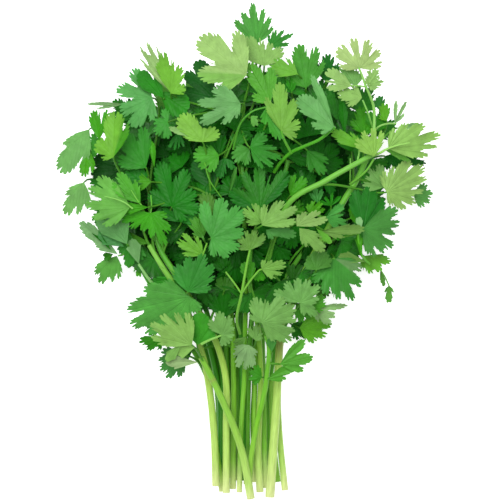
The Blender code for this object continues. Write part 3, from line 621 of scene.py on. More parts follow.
leaf("leaf_left_star", (-62, 49, 57), (64, 147, 60), ((95, 25, 9), (125, 27.5, 11.5), (160, 18, 10.5)),
     web=0.4)
leaf("leaf_left_strip", (-57, 49, 58), (80, 170, 40), ((95, 16, 3.5),), teeth=0.4, rise=None)
leaf("leaf_left_dark", (-46.5, 26, 56), (40, 130, 38), ((-42, 12, 8), (-4, 17, 9.5), (32, 17, 9.5),
     (68, 24, 9.5), (105, 28, 11.5), (150, 16.5, 9.5)), web=0.45, stem="stem_left_thick", at=0.8,
     slits=((88, 0.3),))
leaf("leaf_left_round", (-59, 40.5, 60), (85, 165, 35), ((178, 7.5, 10.5),), web=0.7)
leaf("leaf_left_pale", (-71, 25.5, 64), (118, 188, 95), ((138, 27, 10), (156, 28, 10), (176, 27, 10.5),
     (194, 24, 9.5), (210, 20, 9)), web=0.55, stem="stem_left_long", slits=((166, 0.2),))
leaf("leaf_left_pale_upper", (-65, 27.5, 65), (92, 178, 62), ((112, 16, 7), (127, 23, 9), (143, 21, 8)),
     web=0.6, rise=None)
leaf("leaf_left_bright", (-59, 22, 61), (75, 168, 38), ((193, 18.5, 8.5), (211, 16, 7), (243, 12, 6.5),
     (283, 16.5, 8.5), (294, 21.5, 7), (312, 16.5, 8.5), (341, 10.5, 7)), stem="stem_left_long", at=0.9)
leaf("leaf_left_bright_fold", (-60, 25.5, 64), (80, 170, 40), ((178, 18, 4), (190, 16, 3.5)), web=0.7,
     teeth=0.6)
leaf("leaf_left_flat", (-59, 4, 45), (92, 158, 55), ((170, 20, 6.5),), web=0.7, teeth=0.3)
leaf("leaf_left_silver", (-66.5, -8.5, 48), (125, 172, 128), ((107, 16, 7),), web=0.7, teeth=0.2,
     rise=None)
leaf("leaf_left_deep_low", (-55.5, -3.5, 35), (28, 105, 18), ((200, 11, 7), (228, 11, 6),
     (250, 13.5, 5.5), (275, 8.5, 5)), web=0.4)
leaf("leaf_left_tip", (-73.5, 3.5, 50), (116, 176, 122), ((105, 25, 10), (122, 27.5, 10), (140, 25, 9)),
     web=0.6, stem="stem_left_outer", teeth=0.5)
leaf("leaf_left_folded_far", (-75.5, 2, 46), (88, 150, 108), ((150, 18, 8.5),), web=0.7, teeth=0.3,
     rise=None)
leaf("leaf_left_folded", (-79.5, -2.5, 43), (138, 184, 142), ((140, 30, 8.5), (150, 17, 6)), web=0.6,
     teeth=0.6, rise=None)
leaf("leaf_left_folded_inner", (-83, -0.5, 46), (40, 125, 15), ((131, 23, 3.5),), web=0.6, teeth=0.4,
     rise=None)
leaf("leaf_left_tiny", (-82.5, -2.5, 38), (60, 135, 25), ((200, 6.5, 5),), web=0.6, teeth=0.3, rise=None)
leaf("leaf_left_low", (-80.5, -3.5, 32), (108, 182, 92), ((222, 18, 8.5), (237, 20, 8.5), (252, 17, 8),
     (268, 14.5, 7.5)), web=0.6, stem="stem_left_outer", at=0.93, rise=None)
leaf("leaf_left_little", (-67, -6.5, 36), (90, 175, 52), ((168, 9.5, 5), (195, 9, 5.5), (215, 6, 4)),
     web=0.4)
leaf("leaf_left_little_low", (-66, -8.5, 36), (85, 172, 35), ((236, 6.5, 4), (260, 8, 5), (284, 7, 4)),
     web=0.4)
leaf("leaf_left_edge_low", (-100.5, 41, 30), (128, 190, 116), ((222, 14.5, 7.5), (240, 23, 9.5),
     (255, 20.5, 8), (275, 16.5, 6.5)), web=0.55, stem="stem_under_left", at=0.9)

# ------------------------------------------------------------------------------ middle
# Leaves over the middle of the crown.  Dull and dark blades lie deep between the stems, and a long pale
# group, with its leaflets along one stalk, lies over them.
leaf("leaf_centre_dark", (6, 24, 57), (34, 118, 36), ((55, 28.5, 10.5), (72, 22.5, 7), (92, 26, 10.5),
     (112, 25, 8.5), (148, 21.5, 10.5)), web=0.4, patch=(100, 45, (62, 134, 54)))
leaf("leaf_left_bluish", (-23, 7, 66), (88, 168, 90), ((-75, 11.5, 7), (-45, 15.5, 8.5), (-18, 18, 9.5),
     (14, 20, 10.5), (43, 26, 13), (73, 25, 12), (100, 22.5, 9.5)), web=0.55, stem="stem_centre_left",
     at=0.78, slits=((88, 0.3),))
leaf("leaf_centre_frond", (-27.5, 6, 56), (95, 165, 70), ((100, 16.5, 3.5), (112, 20.5, 4),
     (125, 12, 3.5)), pinnate=True)
leaf("leaf_left_lobed", (-28, -3, 60), (118, 182, 70), ((118, 13, 6), (135, 18, 6), (150, 18, 6.5),
     (176, 12.5, 3.5)), web=0.35, rise=None)
leaf("leaf_left_inner_low", (-41, 16.5, 53), (42, 134, 46), ((10, 10.5, 6), (35, 14.5, 7), (75, 12, 8.5),
     (115, 10.5, 7), (148, 14.5, 7)), web=0.4)
leaf("leaf_left_inner_dark", (-37, -25, 58), (68, 148, 74), ((16, 15, 7), (33, 19, 7), (47, 22.5, 8.5),
     (66, 25, 9.5), (86, 21.5, 9.5), (112, 18, 10)), web=0.6, stem="stem_left_thick", at=0.62)
leaf("leaf_inner_top", (-14.5, -14.5, 42), (40, 122, 12), ((70, 12, 7), (95, 12, 8.5), (125, 13, 8.5)),
     web=0.6)
leaf("leaf_inner_dull", (-15.5, -24.5, 45), (75, 128, 50), ((50, 8.5, 6), (80, 8.5, 7), (110, 8.5, 7)),
     web=0.7, teeth=0.4)
leaf("leaf_inner_round", (-16.5, -41, 38), (35, 112, 14), ((58, 15, 8.5), (85, 17, 9.5), (112, 15, 9.5)),
     web=0.7, teeth=0.4)
leaf("leaf_inner_right", (25.5, -19.5, 36), (62, 118, 48), ((62, 12, 7), (88, 11, 7)), web=0.6, teeth=0.4)
leaf("leaf_long_left", (7, 16, 70), (125, 175, 90), ((118, 13, 7), (140, 14, 7.5), (170, 9.5, 6)),
     web=0.4)
leaf("leaf_stalk_top", (0, 0, 64), (122, 165, 90), ((48, 13, 6.5), (72, 13, 7), (102, 12, 5.5),
     (128, 12, 6.5), (152, 9, 6)), web=0.35, rise=None)
leaf("leaf_long_pale", (7, 14.5, 77), (142, 192, 110), ((8, 20.5, 6.5), (27, 23.5, 7), (45, 19.5, 9.5),
     (75, 13, 7)), web=0.35)
leaf("leaf_long_under", (9.5, 12, 71), (92, 150, 95), ((-45, 7, 5.5), (-10, 18.5, 6.5)), web=0.6,
     rise=None)
leaf("leaf_long_tip", (27.5, 14, 76), (150, 188, 120), ((14, 19, 5.5), (30, 16.5, 6.5), (50, 10.5, 6),
     (70, 8, 4.5)), web=0.4, rise=None)
leaf("leaf_long_low", (29, 13, 75), (138, 182, 108), ((-58, 13, 7), (-42, 20.5, 7.5), (-30, 16, 6)),
     rise=None)
leaf("leaf_long_curl", (39, 13, 73), (110, 180, 70), ((-45, 13, 4),), web=0.6, teeth=0.3, rise=None)
leaf("leaf_long_narrow", (41.5, 11, 68), (130, 164, 100), ((-10, 15.5, 4.5), (3, 27, 6)), web=0.6,
     teeth=0.5, rise=None)
leaf("leaf_stalk_right", (7, -11.5, 60), (135, 190, 98), ((-28, 10, 5), (-8, 13, 6), (12, 15, 7),
     (28, 9.5, 5), (75, 6, 3.5)), web=0.4, rise=None)
leaf("leaf_stalk_low", (7, -12.5, 56), (70, 155, 22), ((235, 7, 5), (262, 6, 5.5)), web=0.6, teeth=0.3)
leaf("leaf_stalk_left_small", (0, -18.5, 56), (72, 145, 30), ((85, 12, 5), (110, 12, 6)), web=0.6,
     teeth=0.5)

# ------------------------------------------------------------------------------ right
# Leaves of the right side of the crown: the broad ones of the arching stem, the finely cut pale leaf of
# the thick one, and small bright ones between.  The lowest hang out over the edge on thin petioles.
leaf("leaf_right_grass", (24, 32.5, 50), (75, 160, 30), ((22, 11, 5.5), (50, 14.5, 8), (75, 13, 7)),
     web=0.4)
leaf("leaf_right_grass_low", (25, 23, 46), (75, 163, 38), ((-15, 7, 4), (15, 8.5, 5), (45, 9.5, 5)),
     web=0.4)
leaf("leaf_right_narrow", (69, 59.5, 62), (112, 182, 62), ((140, 15.5, 5.5), (152, 24, 7.5)), web=0.6)
leaf("leaf_right_back", (73.5, 55.5, 68), (150, 205, 98), ((75, 16, 6.5), (92, 17, 7.5), (113, 16.5, 7.5),
     (135, 15, 8.5)), web=0.4, stem="stem_right_arching", at=0.95, rise=None)
leaf("leaf_right_tip", (82, 60, 66), (155, 207, 115), ((-7, 25, 7), (5, 31, 6.5), (15, 33, 9),
     (33, 26.5, 9), (51, 19.5, 7.5), (66, 13.5, 7)), web=0.55, stem="stem_right_arching", rise=None)
leaf("leaf_right_back_edge", (88, 73, 50), (140, 185, 140), ((8, 15.5, 3.5),), web=0.6, teeth=0.3)
leaf("leaf_right_curled", (80, 59.5, 62), (118, 188, 85), ((-22, 17, 3.5), (-13, 16, 5), (-2, 13, 4)),
     web=0.6, teeth=0.5, rise=None)
leaf("leaf_right_deep", (81, 56.5, 40), (25, 108, 30), ((-65, 8.5, 8.5), (-28, 15.5, 8.5), (-9, 26, 7),
     (2, 24, 7)))
leaf("leaf_right_broad", (81.5, 34.5, 56), (160, 208, 122), ((-58, 9.5, 6), (-38, 15.5, 7),
     (-16, 19.5, 8.5), (2, 22.5, 8.5), (20, 26, 8.5), (34, 28, 9.5), (52, 24, 9.5), (72, 16.5, 7),
     (95, 13, 7)), web=0.6, stem="stem_right_arching", at=0.72, slits=((12, 0.22), (-6, 0.25)))
leaf("leaf_right_grey_back", (80, 37.5, 52), (130, 176, 113), ((104, 14.5, 7), (128, 14.5, 7),
     (150, 13, 7), (172, 13, 7)))
leaf("leaf_right_edge_dark", (98.5, 32.5, 40), (112, 182, 108), ((-42, 9.5, 5.5), (-18, 11, 6),
     (8, 12, 7), (40, 11, 6)), stem="stem_under_right")
leaf("leaf_right_dark_high", (67.5, 12.5, 58), (48, 128, 55), ((58, 22.5, 9.5), (80, 26, 12.5),
     (100, 24, 11.5)), teeth=0.7)
leaf("leaf_right_grey", (67, 12.5, 60), (92, 158, 92), ((-64, 18.5, 8.5), (-47, 19.5, 9),
     (-30, 21.5, 9.5), (-7, 20, 8.5), (11, 23, 9), (29, 24.5, 9.5)), web=0.6, stem="stem_right_outer",
     slits=((-18, 0.3), (-57, 0.3)))
leaf("leaf_right_fold", (66, 12.5, 61), (142, 195, 145), ((103, 7.5, 4),), web=0.6, teeth=0.2, rise=None)
leaf("leaf_right_inner", (34, 59.5, 55), (66, 138, 60), ((-70, 14.5, 7), (-53, 18, 8.5), (-36, 15.5, 8)),
     web=0.6)
leaf("leaf_right_inner_low", (43, 44.5, 48), (35, 122, 38), ((-80, 8.5, 5.5), (-55, 13, 7), (-30, 10, 6)))
leaf("leaf_right_star", (40.5, 28, 50), (82, 160, 92), ((72, 9, 3), (100, 10, 3.5), (125, 8, 3)), web=0.3,
     teeth=0.5)
leaf("leaf_right_wisps", (48.5, 26.5, 48), (50, 140, 30), ((45, 8.5, 2.5), (85, 8, 2), (125, 7, 2),
     (160, 8.5, 2.5)), web=0.2, teeth=0.4)
leaf("leaf_right_fronds", (45.5, 19.5, 56), (88, 168, 92), ((-38, 12, 5), (-18, 13, 5.5), (10, 10.5, 3.5),
     (35, 13, 5.5)), web=0.25)
leaf("leaf_right_low_green", (46.5, 10.5, 54), (60, 158, 30), ((-30, 8.5, 3.5), (-10, 8.5, 4)))
leaf("leaf_right_lime_inner", (36, 21.5, 52), (88, 170, 32), ((20, 9.5, 4), (45, 10, 5), (70, 8.5, 5),
     (100, 6.5, 4)), web=0.4)
leaf("leaf_right_lime_outer", (60, 19, 50), (80, 168, 32), ((-22, 8.5, 4), (10, 8, 5), (40, 9, 5.5),
     (75, 8, 5)), web=0.4)
leaf("leaf_feather_right", (65.5, 108, 60), (178, 214, 142), ((20, 14, 8), (46, 17, 9), (72, 18.5, 9.5),
     (104, 19, 10), (134, 18.5, 12), (163, 13.5, 8)), web=0.3, slits=((88, 0.6), (119, 0.4)),
     stem="stem_right_thick", rise=None)
leaf("leaf_feather_left", (60.5, 97.5, 62), (160, 206, 128), ((150, 18, 9), (168, 16.5, 6.5),
     (182, 15.5, 6.5)), web=0.3, rise=None)
leaf("leaf_feather_middle", (63, 97.5, 58), (135, 190, 120), ((75, 9.5, 5.5), (98, 11.5, 7),
     (122, 15, 10)), rise=None)
leaf("leaf_feather_low", (66.5, 90.5, 61), (156, 204, 122), ((140, 10.5, 7), (168, 15, 9),
     (198, 10.5, 7)), web=0.4, rise=None)
leaf("leaf_feather_side", (70, 97.5, 62), (155, 202, 125), ((-25, 5.5, 3), (18, 10, 6), (60, 9, 5),
     (95, 6, 3.5)), rise=None, pinnate=True)
leaf("leaf_feather_side_low", (72, 101.5, 61), (155, 202, 125), ((30, 6, 4), (60, 7.5, 5), (100, 6, 4)),
     web=0.4, rise=None)
leaf("leaf_right_small", (82, 77.5, 45), (105, 180, 45), ((100, 11, 7), (135, 6, 5)),
     stem="stem_right_thick", at=0.9)
leaf("leaf_right_small_back", (78, 84, 42), (65, 145, 80), ((85, 9, 6), (112, 6.5, 3.5)))
leaf("leaf_right_cluster_side", (76, 71, 45), (68, 152, 42), ((55, 9, 6.5), (85, 11, 8), (112, 13, 8)),
     rise=None)
leaf("leaf_right_gap", (72, 53, 44), (55, 125, 38), ((-55, 12, 8), (-5, 11, 7)), web=0.6, rise=None)
leaf("leaf_right_fork", (86.5, 75.5, 50), (150, 195, 140), ((48, 9, 2.5), (62, 15.5, 2.5), (86, 14, 2.5)),
     web=0.2, teeth=0.3, rise=None)
leaf("leaf_right_cluster", (68.5, 69.5, 46), (75, 160, 30), ((40, 9.5, 7), (70, 14.5, 8), (98, 17, 8.5),
     (125, 12, 8)))
leaf("leaf_right_cluster_low", (61, 59, 44), (45, 135, 25), ((55, 13, 8.5), (95, 13, 7), (130, 12, 7)))
leaf("leaf_right_upright", (56.5, 68.5, 55), (45, 135, 25), ((94, 21, 5),), web=0.6, teeth=0.2, rise=None)
leaf("leaf_right_mid_back", (67.5, -3, 36), (50, 120, 42), ((125, 12, 7), (150, 13.5, 9.5)), web=0.6,
     teeth=0.4, rise=None)
leaf("leaf_right_lower", (50.5, -5, 49), (78, 152, 74), ((230, 19, 9), (255, 22.5, 9.5), (276, 25, 10),
     (294, 28, 9.5), (312, 23.5, 8.5), (337, 18, 9)), stem="stem_under_right", at=0.74,
     patch=(337, 14, (125, 160, 125)), slits=((303, 0.3),))
leaf("leaf_right_bright_fold", (66.5, -5, 58), (85, 172, 38), ((99, 16, 3.5),), web=0.7, teeth=0.4,
     rise=None)
leaf("leaf_right_bright", (68.5, -3.5, 42), (116, 196, 64), ((272, 9, 5.5), (298, 12, 7), (320, 14, 7),
     (348, 17, 6)), web=0.6, stem="stem_under_right", at=0.62)
leaf("leaf_right_silver", (69.5, -7, 47), (130, 170, 100), ((168, 17, 5.5),), web=0.7, teeth=0.2)
leaf("leaf_right_hanging", (79, -12, 27), (110, 175, 85), ((283, 10.5, 3),), teeth=0.4, rise=None)
leaf("leaf_right_hanging_tip", (84.5, -21.5, 24), (110, 175, 85), ((-115, 5.5, 2.5), (-90, 11, 4.5),
     (-65, 5.5, 2.5)), web=0.3, teeth=0.5, rise=None)
leaf("leaf_right_dull", (39.5, -12, 55), (98, 152, 82), ((40, 11.5, 6), (62, 12.5, 8.5), (88, 11.5, 8.5),
     (115, 10, 7), (140, 8.5, 6)), web=0.75, teeth=0.3)

# ------------------------------------------------------------------------------ waist
# Leaves round the waist, where the stems come together.  They are the lowest leaves of their stems,
# small and pale, and a few hang down between the bare stalks.
leaf("leaf_waist_right", (30, -31.5, 53), (128, 185, 112), ((-62, 8.5, 5.5), (-38, 13, 6), (18, 12, 6.5),
     (42, 15.5, 7), (70, 15, 8), (96, 15, 8.5), (124, 15.5, 8), (157, 17.5, 7)), web=0.6,
     stem="stem_right_thick", at=0.42, slits=((112, 0.3),))
leaf("leaf_waist_pale", (7, -43.5, 57), (132, 182, 112), ((-46, 14.5, 7.5), (-30, 21, 9),
     (-14, 20.5, 8.5), (5, 21, 8.5), (25, 22.5, 10.5), (48, 20.5, 10.5), (78, 14.5, 8.5), (105, 16, 9.5),
     (137, 9.5, 6)), web=0.65, stem="stem_crossing_right", slits=((68, 0.35), (-5, 0.3)))
leaf("leaf_waist_back", (35, -33, 45), (92, 176, 56), ((-22, 9.5, 5), (2, 11, 6), (25, 11.5, 6)))
leaf("leaf_waist_grey", (38.5, -35, 42), (152, 196, 140), ((-60, 9.5, 5), (-42, 14, 6.5), (-22, 14, 6),
     (4, 20.5, 4)))
leaf("leaf_waist_bright", (30, -47, 32), (112, 196, 52), ((-38, 13.5, 7.5), (-14, 17.5, 8.5), (8, 20, 9),
     (30, 17, 8.5)), stem="stem_under_right_low", at=0.68)
leaf("leaf_waist_between", (27.5, -32.5, 45), (80, 155, 50), ((-68, 12, 6.5), (-45, 12.5, 6.5)))
leaf("leaf_waist_hanging", (18, -68.5, 45), (102, 180, 72), ((-14, 15, 5), (12, 20.5, 7), (44, 21, 6)),
     web=0.4, stem="stem_crossing_right", at=0.74, teeth=0.35)
leaf("leaf_waist_hanging_low", (10, -77.5, 44), (98, 180, 62), ((3, 12, 4), (25, 20, 6)), teeth=0.45,
     rise=None)
leaf("leaf_waist_curly", (7, -76.5, 42), (72, 152, 40), ((120, 8.5, 5), (150, 8.5, 5), (185, 8, 4),
     (215, 7, 4)), web=0.4)
leaf("leaf_waist_tip", (13, -61, 47), (90, 160, 90), ((92, 9, 5.5),), web=0.7, teeth=0.4)
leaf("leaf_waist_low", (-1, -57, 42), (158, 208, 150), ((205, 9.5, 5.5), (225, 12, 6.5), (245, 15.5, 7),
     (262, 15.5, 7), (280, 14.5, 6), (300, 8.5, 5.5)), web=0.6)
leaf("leaf_waist_little", (-2.5, -52.5, 40), (128, 182, 100), ((215, 9, 5), (234, 6, 3)), teeth=0.5)
leaf("leaf_waist_little_right", (3.5, -54.5, 42), (135, 185, 112), ((35, 5, 3.5), (68, 7, 5),
     (92, 10, 5.5), (112, 9.5, 5.5)))
leaf("leaf_waist_small_pale", (-16.5, -50.5, 62), (130, 182, 112), ((-80, 7, 5), (-40, 7, 5.5),
     (5, 7.5, 5), (40, 9, 6), (70, 12.5, 7), (98, 14.5, 7.5), (128, 12, 7)), web=0.55, rise=None)
leaf("leaf_waist_folded", (-31.5, -56.5, 55), (74, 166, 54), ((52, 15.5, 9.5), (82, 19.5, 12),
     (108, 18, 9.5)), web=0.75, teeth=0.15)
leaf("leaf_waist_left_pale", (-34.5, -56.5, 62), (148, 197, 112), ((99, 20, 7), (118, 22, 7.5),
     (136, 26, 9), (153, 28, 9), (168, 25, 8.5)), stem="stem_crossing_left", slits=((126, 0.3),))
leaf("leaf_waist_left_side", (-40.5, -55.5, 60), (140, 195, 110), ((228, 14.5, 5),), web=0.7, teeth=0.2,
     rise=None)
leaf("leaf_waist_silver", (-31, -67, 54), (168, 200, 152), ((180, 19.5, 6),), web=0.7, teeth=0.1,
     rise=None)
leaf("leaf_waist_left_dark", (-39.5, -64.5, 40), (85, 150, 92), ((165, 14.5, 7), (188, 16, 7),
     (208, 17, 8), (228, 17, 7), (250, 13, 6.5)), web=0.65, stem="stem_left_outer", at=0.42)
leaf("leaf_lower_left_deep", (-52, -52.5, 35), (62, 142, 25), ((192, 15.5, 7), (213, 13.5, 6.5),
     (238, 9, 6)))
leaf("leaf_lower_left", (-36, -28, 50), (98, 177, 90), ((158, 21, 9), (171, 28.5, 11.5), (193, 39.5, 14),
     (205, 40.5, 14.5), (217, 36, 14.5), (240, 20.5, 12), (270, 11, 8.5), (300, 11, 7)), web=0.75,
     stem="stem_left_long", at=0.62, slits=((199, 0.2),))

# ------------------------------------------------------------------------------ behind the edge
# Leaves low in the bunch, that show in the gaps near the crown's edge and at the waist.  Most are a
# darker green, which is painted shade.  The last one is pressed flat under the stems.
leaf("leaf_back_top_right", (43, 91, 34), (50, 130, 48), ((50, 12, 8), (80, 13, 8), (115, 12, 8)),
     web=0.6)
leaf("leaf_back_feather", (66, 83, 38), (62, 145, 55), ((35, 14, 8), (65, 17, 9), (95, 17, 9),
     (125, 14, 8)), web=0.6)
leaf("leaf_back_right", (74, 70, 36), (60, 142, 48), ((0, 13, 7), (28, 16, 8), (58, 14, 8)), web=0.6)
leaf("leaf_back_upper_left", (-71, 79, 34), (48, 128, 46), ((105, 13, 8), (135, 17, 9), (165, 14, 8)),
     web=0.6)
leaf("leaf_back_left_high", (-64, 71, 36), (44, 124, 44), ((115, 13, 8), (145, 15, 8), (180, 13, 8)),
     web=0.6)
leaf("leaf_back_left", (-85, 38, 28), (56, 136, 48), ((135, 11, 7), (160, 13, 8), (190, 12, 7)), web=0.6)
leaf("leaf_back_left_low", (-84, 22, 26), (60, 138, 52), ((165, 11, 7), (195, 13, 7), (220, 10, 7)),
     web=0.6)
leaf("leaf_back_left_inner", (-45, 6, 32), (34, 108, 28), ((235, 10, 7), (265, 13, 8), (300, 11, 7)),
     web=0.6)
# A dark green filler, painted shade in the hollow at the left of the waist.
leaf("leaf_back_waist_left", (-35, -61, 30), (42, 118, 28), ((150, 10, 8), (180, 11, 8), (210, 10, 8)),
     web=0.6, teeth=0.4)
leaf("leaf_back_waist_right", (25, -45, 26), (52, 128, 30), ((-60, 11, 7), (-35, 13, 8), (-8, 12, 7)),
     web=0.6)
leaf("leaf_waist_left_base", (-33, -58, 60), (148, 197, 112), ((163, 11, 7), (190, 12, 8)), web=0.8,
     teeth=0.1, rise=None)
leaf("leaf_back_right_low", (68, 26, 34), (60, 142, 50), ((20, 15, 8), (45, 17, 9), (75, 15, 8)), web=0.7)
leaf("leaf_under_stems", (-13, -94, 1.2), (92, 168, 56), ((68, 44, 15), (86, 50, 16), (103, 48, 15)),
     web=0.8, lean=(0, 0), droop=0, crease=0, ruffle=0.1)

# ------------------------------------------------------------------------------- flat under leaves
# Five leaves of the underside, thin blades like the others, are pressed flat on the surface and carry
# the crown.  Each grows from one of the stems underneath and spreads in seven lobes.
REST_LOBES = ((-88, 0.7), (-58, 0.9), (-30, 0.85), (0, 1.0), (30, 0.85), (58, 0.9), (88, 0.7))
for name, (x, y), heading, length, stem, at in (
        ("leaf_rest_left", (-48, 18), 150, 40, "stem_under_left", 0.78),
        ("leaf_rest_top_left", (-37, 74), 122, 35, "stem_under_top_left", 0.80),
        ("leaf_rest_top", (22, 80), 66, 36, "stem_under_top", 0.82),
        ("leaf_rest_right", (50, 26), 42, 36, "stem_under_right", 0.72),
        ("leaf_rest_lower_right", (38, -8), -10, 26, "stem_under_right_low", 0.95)):
    lobes = [(heading + turn, length * long, length * long * 0.5) for turn, long in REST_LOBES]
    leaf(name, (x, y, 0.6), (104, 174, 74), lobes, stem=stem, at=at, web=0.7, lean=(0, 0), droop=-0.01,
         crease=0.02, ruffle=0.1)

# ------------------------------------------------------------------------------- inner leaves
# The inside of the crown is full of leaves that are seen only in part, between the upper ones and
# from the sides.  Their dark greens are painted shade, the darker the deeper their layer lies.  They
# fill the crown's outline in layers, and lean outwards all round its edge.
CROWN_EDGE = np.array((
    (-21, 97), (-42, 92), (-58, 83), (-73, 71), (-83, 57), (-84, 39), (-86, 21), (-80, 4), (-70, -8),
    (-58, -21), (-44, -31), (-27, -36), (-6, -36), (21, -32), (41, -22), (57, -9), (66, 0), (73, 15),
    (78, 30), (74, 46), (72, 60), (70, 72), (65, 84), (56, 91), (44, 97), (30, 104), (15, 106),
    (0, 103)), float)


def inside_edge(spots, grown):
    """Which spots lie inside CROWN_EDGE, grown about its middle, by counting the sides that a ray to +x
    crosses."""
    middle = CROWN_EDGE.mean(0)
    a = middle + (CROWN_EDGE - middle) * (1 + grown)
    b = np.roll(a, -1, axis=0)
    x, y = spots[:, None, 0], spots[:, None, 1]
    climb = np.where(a[:, 1] == b[:, 1], 1e-9, b[:, 1] - a[:, 1])
    crossed = x < a[:, 0] + (y - a[:, 1]) * (b[:, 0] - a[:, 0]) / climb
    return (((a[:, 1] > y) != (b[:, 1] > y)) & crossed).sum(1) % 2 == 1


def turned(points, heading, pitch, roll, to):
    """Points turned about the origin: rolled about +x, pitched down about +y, then headed about +z, and
    moved to their place."""
    h, p, q = (math.radians(a) for a in (heading, pitch, roll))
    roll_by = np.array(((1, 0, 0), (0, math.cos(q), -math.sin(q)), (0, math.sin(q), math.cos(q))))
    pitch_by = np.array(((math.cos(p), 0, math.sin(p)), (0, 1, 0), (-math.sin(p), 0, math.cos(p))))
    head_by = np.array(((math.cos(h), -math.sin(h), 0), (math.sin(h), math.cos(h), 0), (0, 0, 1)))
    return points @ (head_by @ pitch_by @ roll_by).T + to


def inner_leaf(random, to, heading, pitch, roll, size, colour):
    """A plain leaf of three to five lobes, turned and moved, as one skin."""
    count = random.integers(3, 6)
    fan = 52 + 9 * count
    lobes = [(h, size * random.uniform(0.8, 1.1), size * random.uniform(0.45, 0.65))
             for h in np.linspace(-fan, fan, count) * (1 - 1 / count)]
    points, quads, fans, place = blade((0, 0, 0), lobes, web=0.55, droop=0.14, ruffle=0.6,
                                       seed=int(random.integers(1 << 30)), step=0.7, rows=(0.35, 0.7, 1.0))
    shade = random.uniform(0.7, 1.35)
    return turned(points, heading, pitch, roll, to), quads, fans, linear(colour) * shade, place


# Each layer: its height, the gap between leaves, their length and their colour, a painted shade that is
# darker the lower the layer.
INNER_LAYERS = (
    (9, 20, 16, (12, 62, 7)), (17, 19, 16, (14, 70, 8)), (25, 18, 16, (17, 80, 10)),
    (33, 17, 16, (22, 94, 13)), (40, 18, 15, (26, 100, 16)), (46, 23, 14, (34, 114, 22)))
# Each row of the edge: its height, the gap between leaves, how far they point down, and their colour, a
# little darker the lower the row, as painted shade.
EDGE_ROWS = (
    (10, 17, -20, (52, 124, 40)), (22, 16, 15, (58, 134, 46)), (34, 17, 40, (58, 138, 50)),
    (44, 19, 28, (60, 142, 52)))

# A layer's leaves stand in staggered rows, each a little off its spot, and the higher the layer is, the
# more its outline is drawn in.  The nearer a leaf is to the edge, the steeper it hangs.
random = np.random.default_rng(5)
# The darker colour of a lower layer is painted shade.
for height, gap, size, colour in INNER_LAYERS:
    rows = enumerate(np.arange(-45, 115, gap * 0.87))
    grid = np.array([(x + (k % 2) * gap / 2, y) for k, y in rows for x in np.arange(-100, 100, gap)])
    grid += random.uniform(-4, 4, grid.shape)
    parts = []
    for x, y in grid[inside_edge(grid, -0.10 - 0.005 * (height - 9))]:
        out = np.array((x, y)) - CROWN_MIDDLE
        heading = math.degrees(math.atan2(out[1], out[0])) + random.uniform(-80, 80)
        steep = 8 + 26 * min(1, np.linalg.norm(out / CROWN_HALF))
        to = (x - out[0] * 0.10, y - out[1] * 0.10, height + random.uniform(-3, 3))
        pitch, roll = random.uniform(0.2, 1.0) * steep, random.uniform(-16, 16)
        parts.append(inner_leaf(random, to, heading, pitch, roll, size * random.uniform(0.85, 1.15), colour))
    skin(f"inner_leaves_{height}", *gather(parts), LEAF_SKIN, "leaf")

# A row's leaves stand at even gaps along the edge, a little inside it, and point outwards.
edge = np.vstack((CROWN_EDGE, CROWN_EDGE[:1]))
gone = way_along(edge)
for height, gap, drop, colour in EDGE_ROWS:
    parts = []
    for s in np.arange(0, gone[-1], gap) + random.uniform(0, gap):
        spot = np.array([np.interp(s % gone[-1], gone, edge[:, axis]) for axis in (0, 1)])
        out = spot - CROWN_MIDDLE
        out /= np.linalg.norm(out)
        heading = math.degrees(math.atan2(out[1], out[0])) + random.uniform(-25, 25)
        spot = spot - out * random.uniform(9, 15)
        to = (*spot, height + random.uniform(-3, 3))
        pitch, roll = drop + random.uniform(-12, 12), random.uniform(-25, 25)
        parts.append(inner_leaf(random, to, heading, pitch, roll, random.uniform(13, 17), colour))
    skin(f"edge_leaves_{height}", *gather(parts), LEAF_SKIN, "leaf")

# ------------------------------------------------------------------------------- fine stalks
# Four more stems at the back of the waist, and the thin side stalks that show over the crown.  They are
# of the same stuff as the stems, and most of the side stalks carry one of the leaves.  Three of the back
# stems are a dark green, painted shade in the gaps between the stems above them.
TWIG_STEPS = 24
TWIG_SIDES = 10
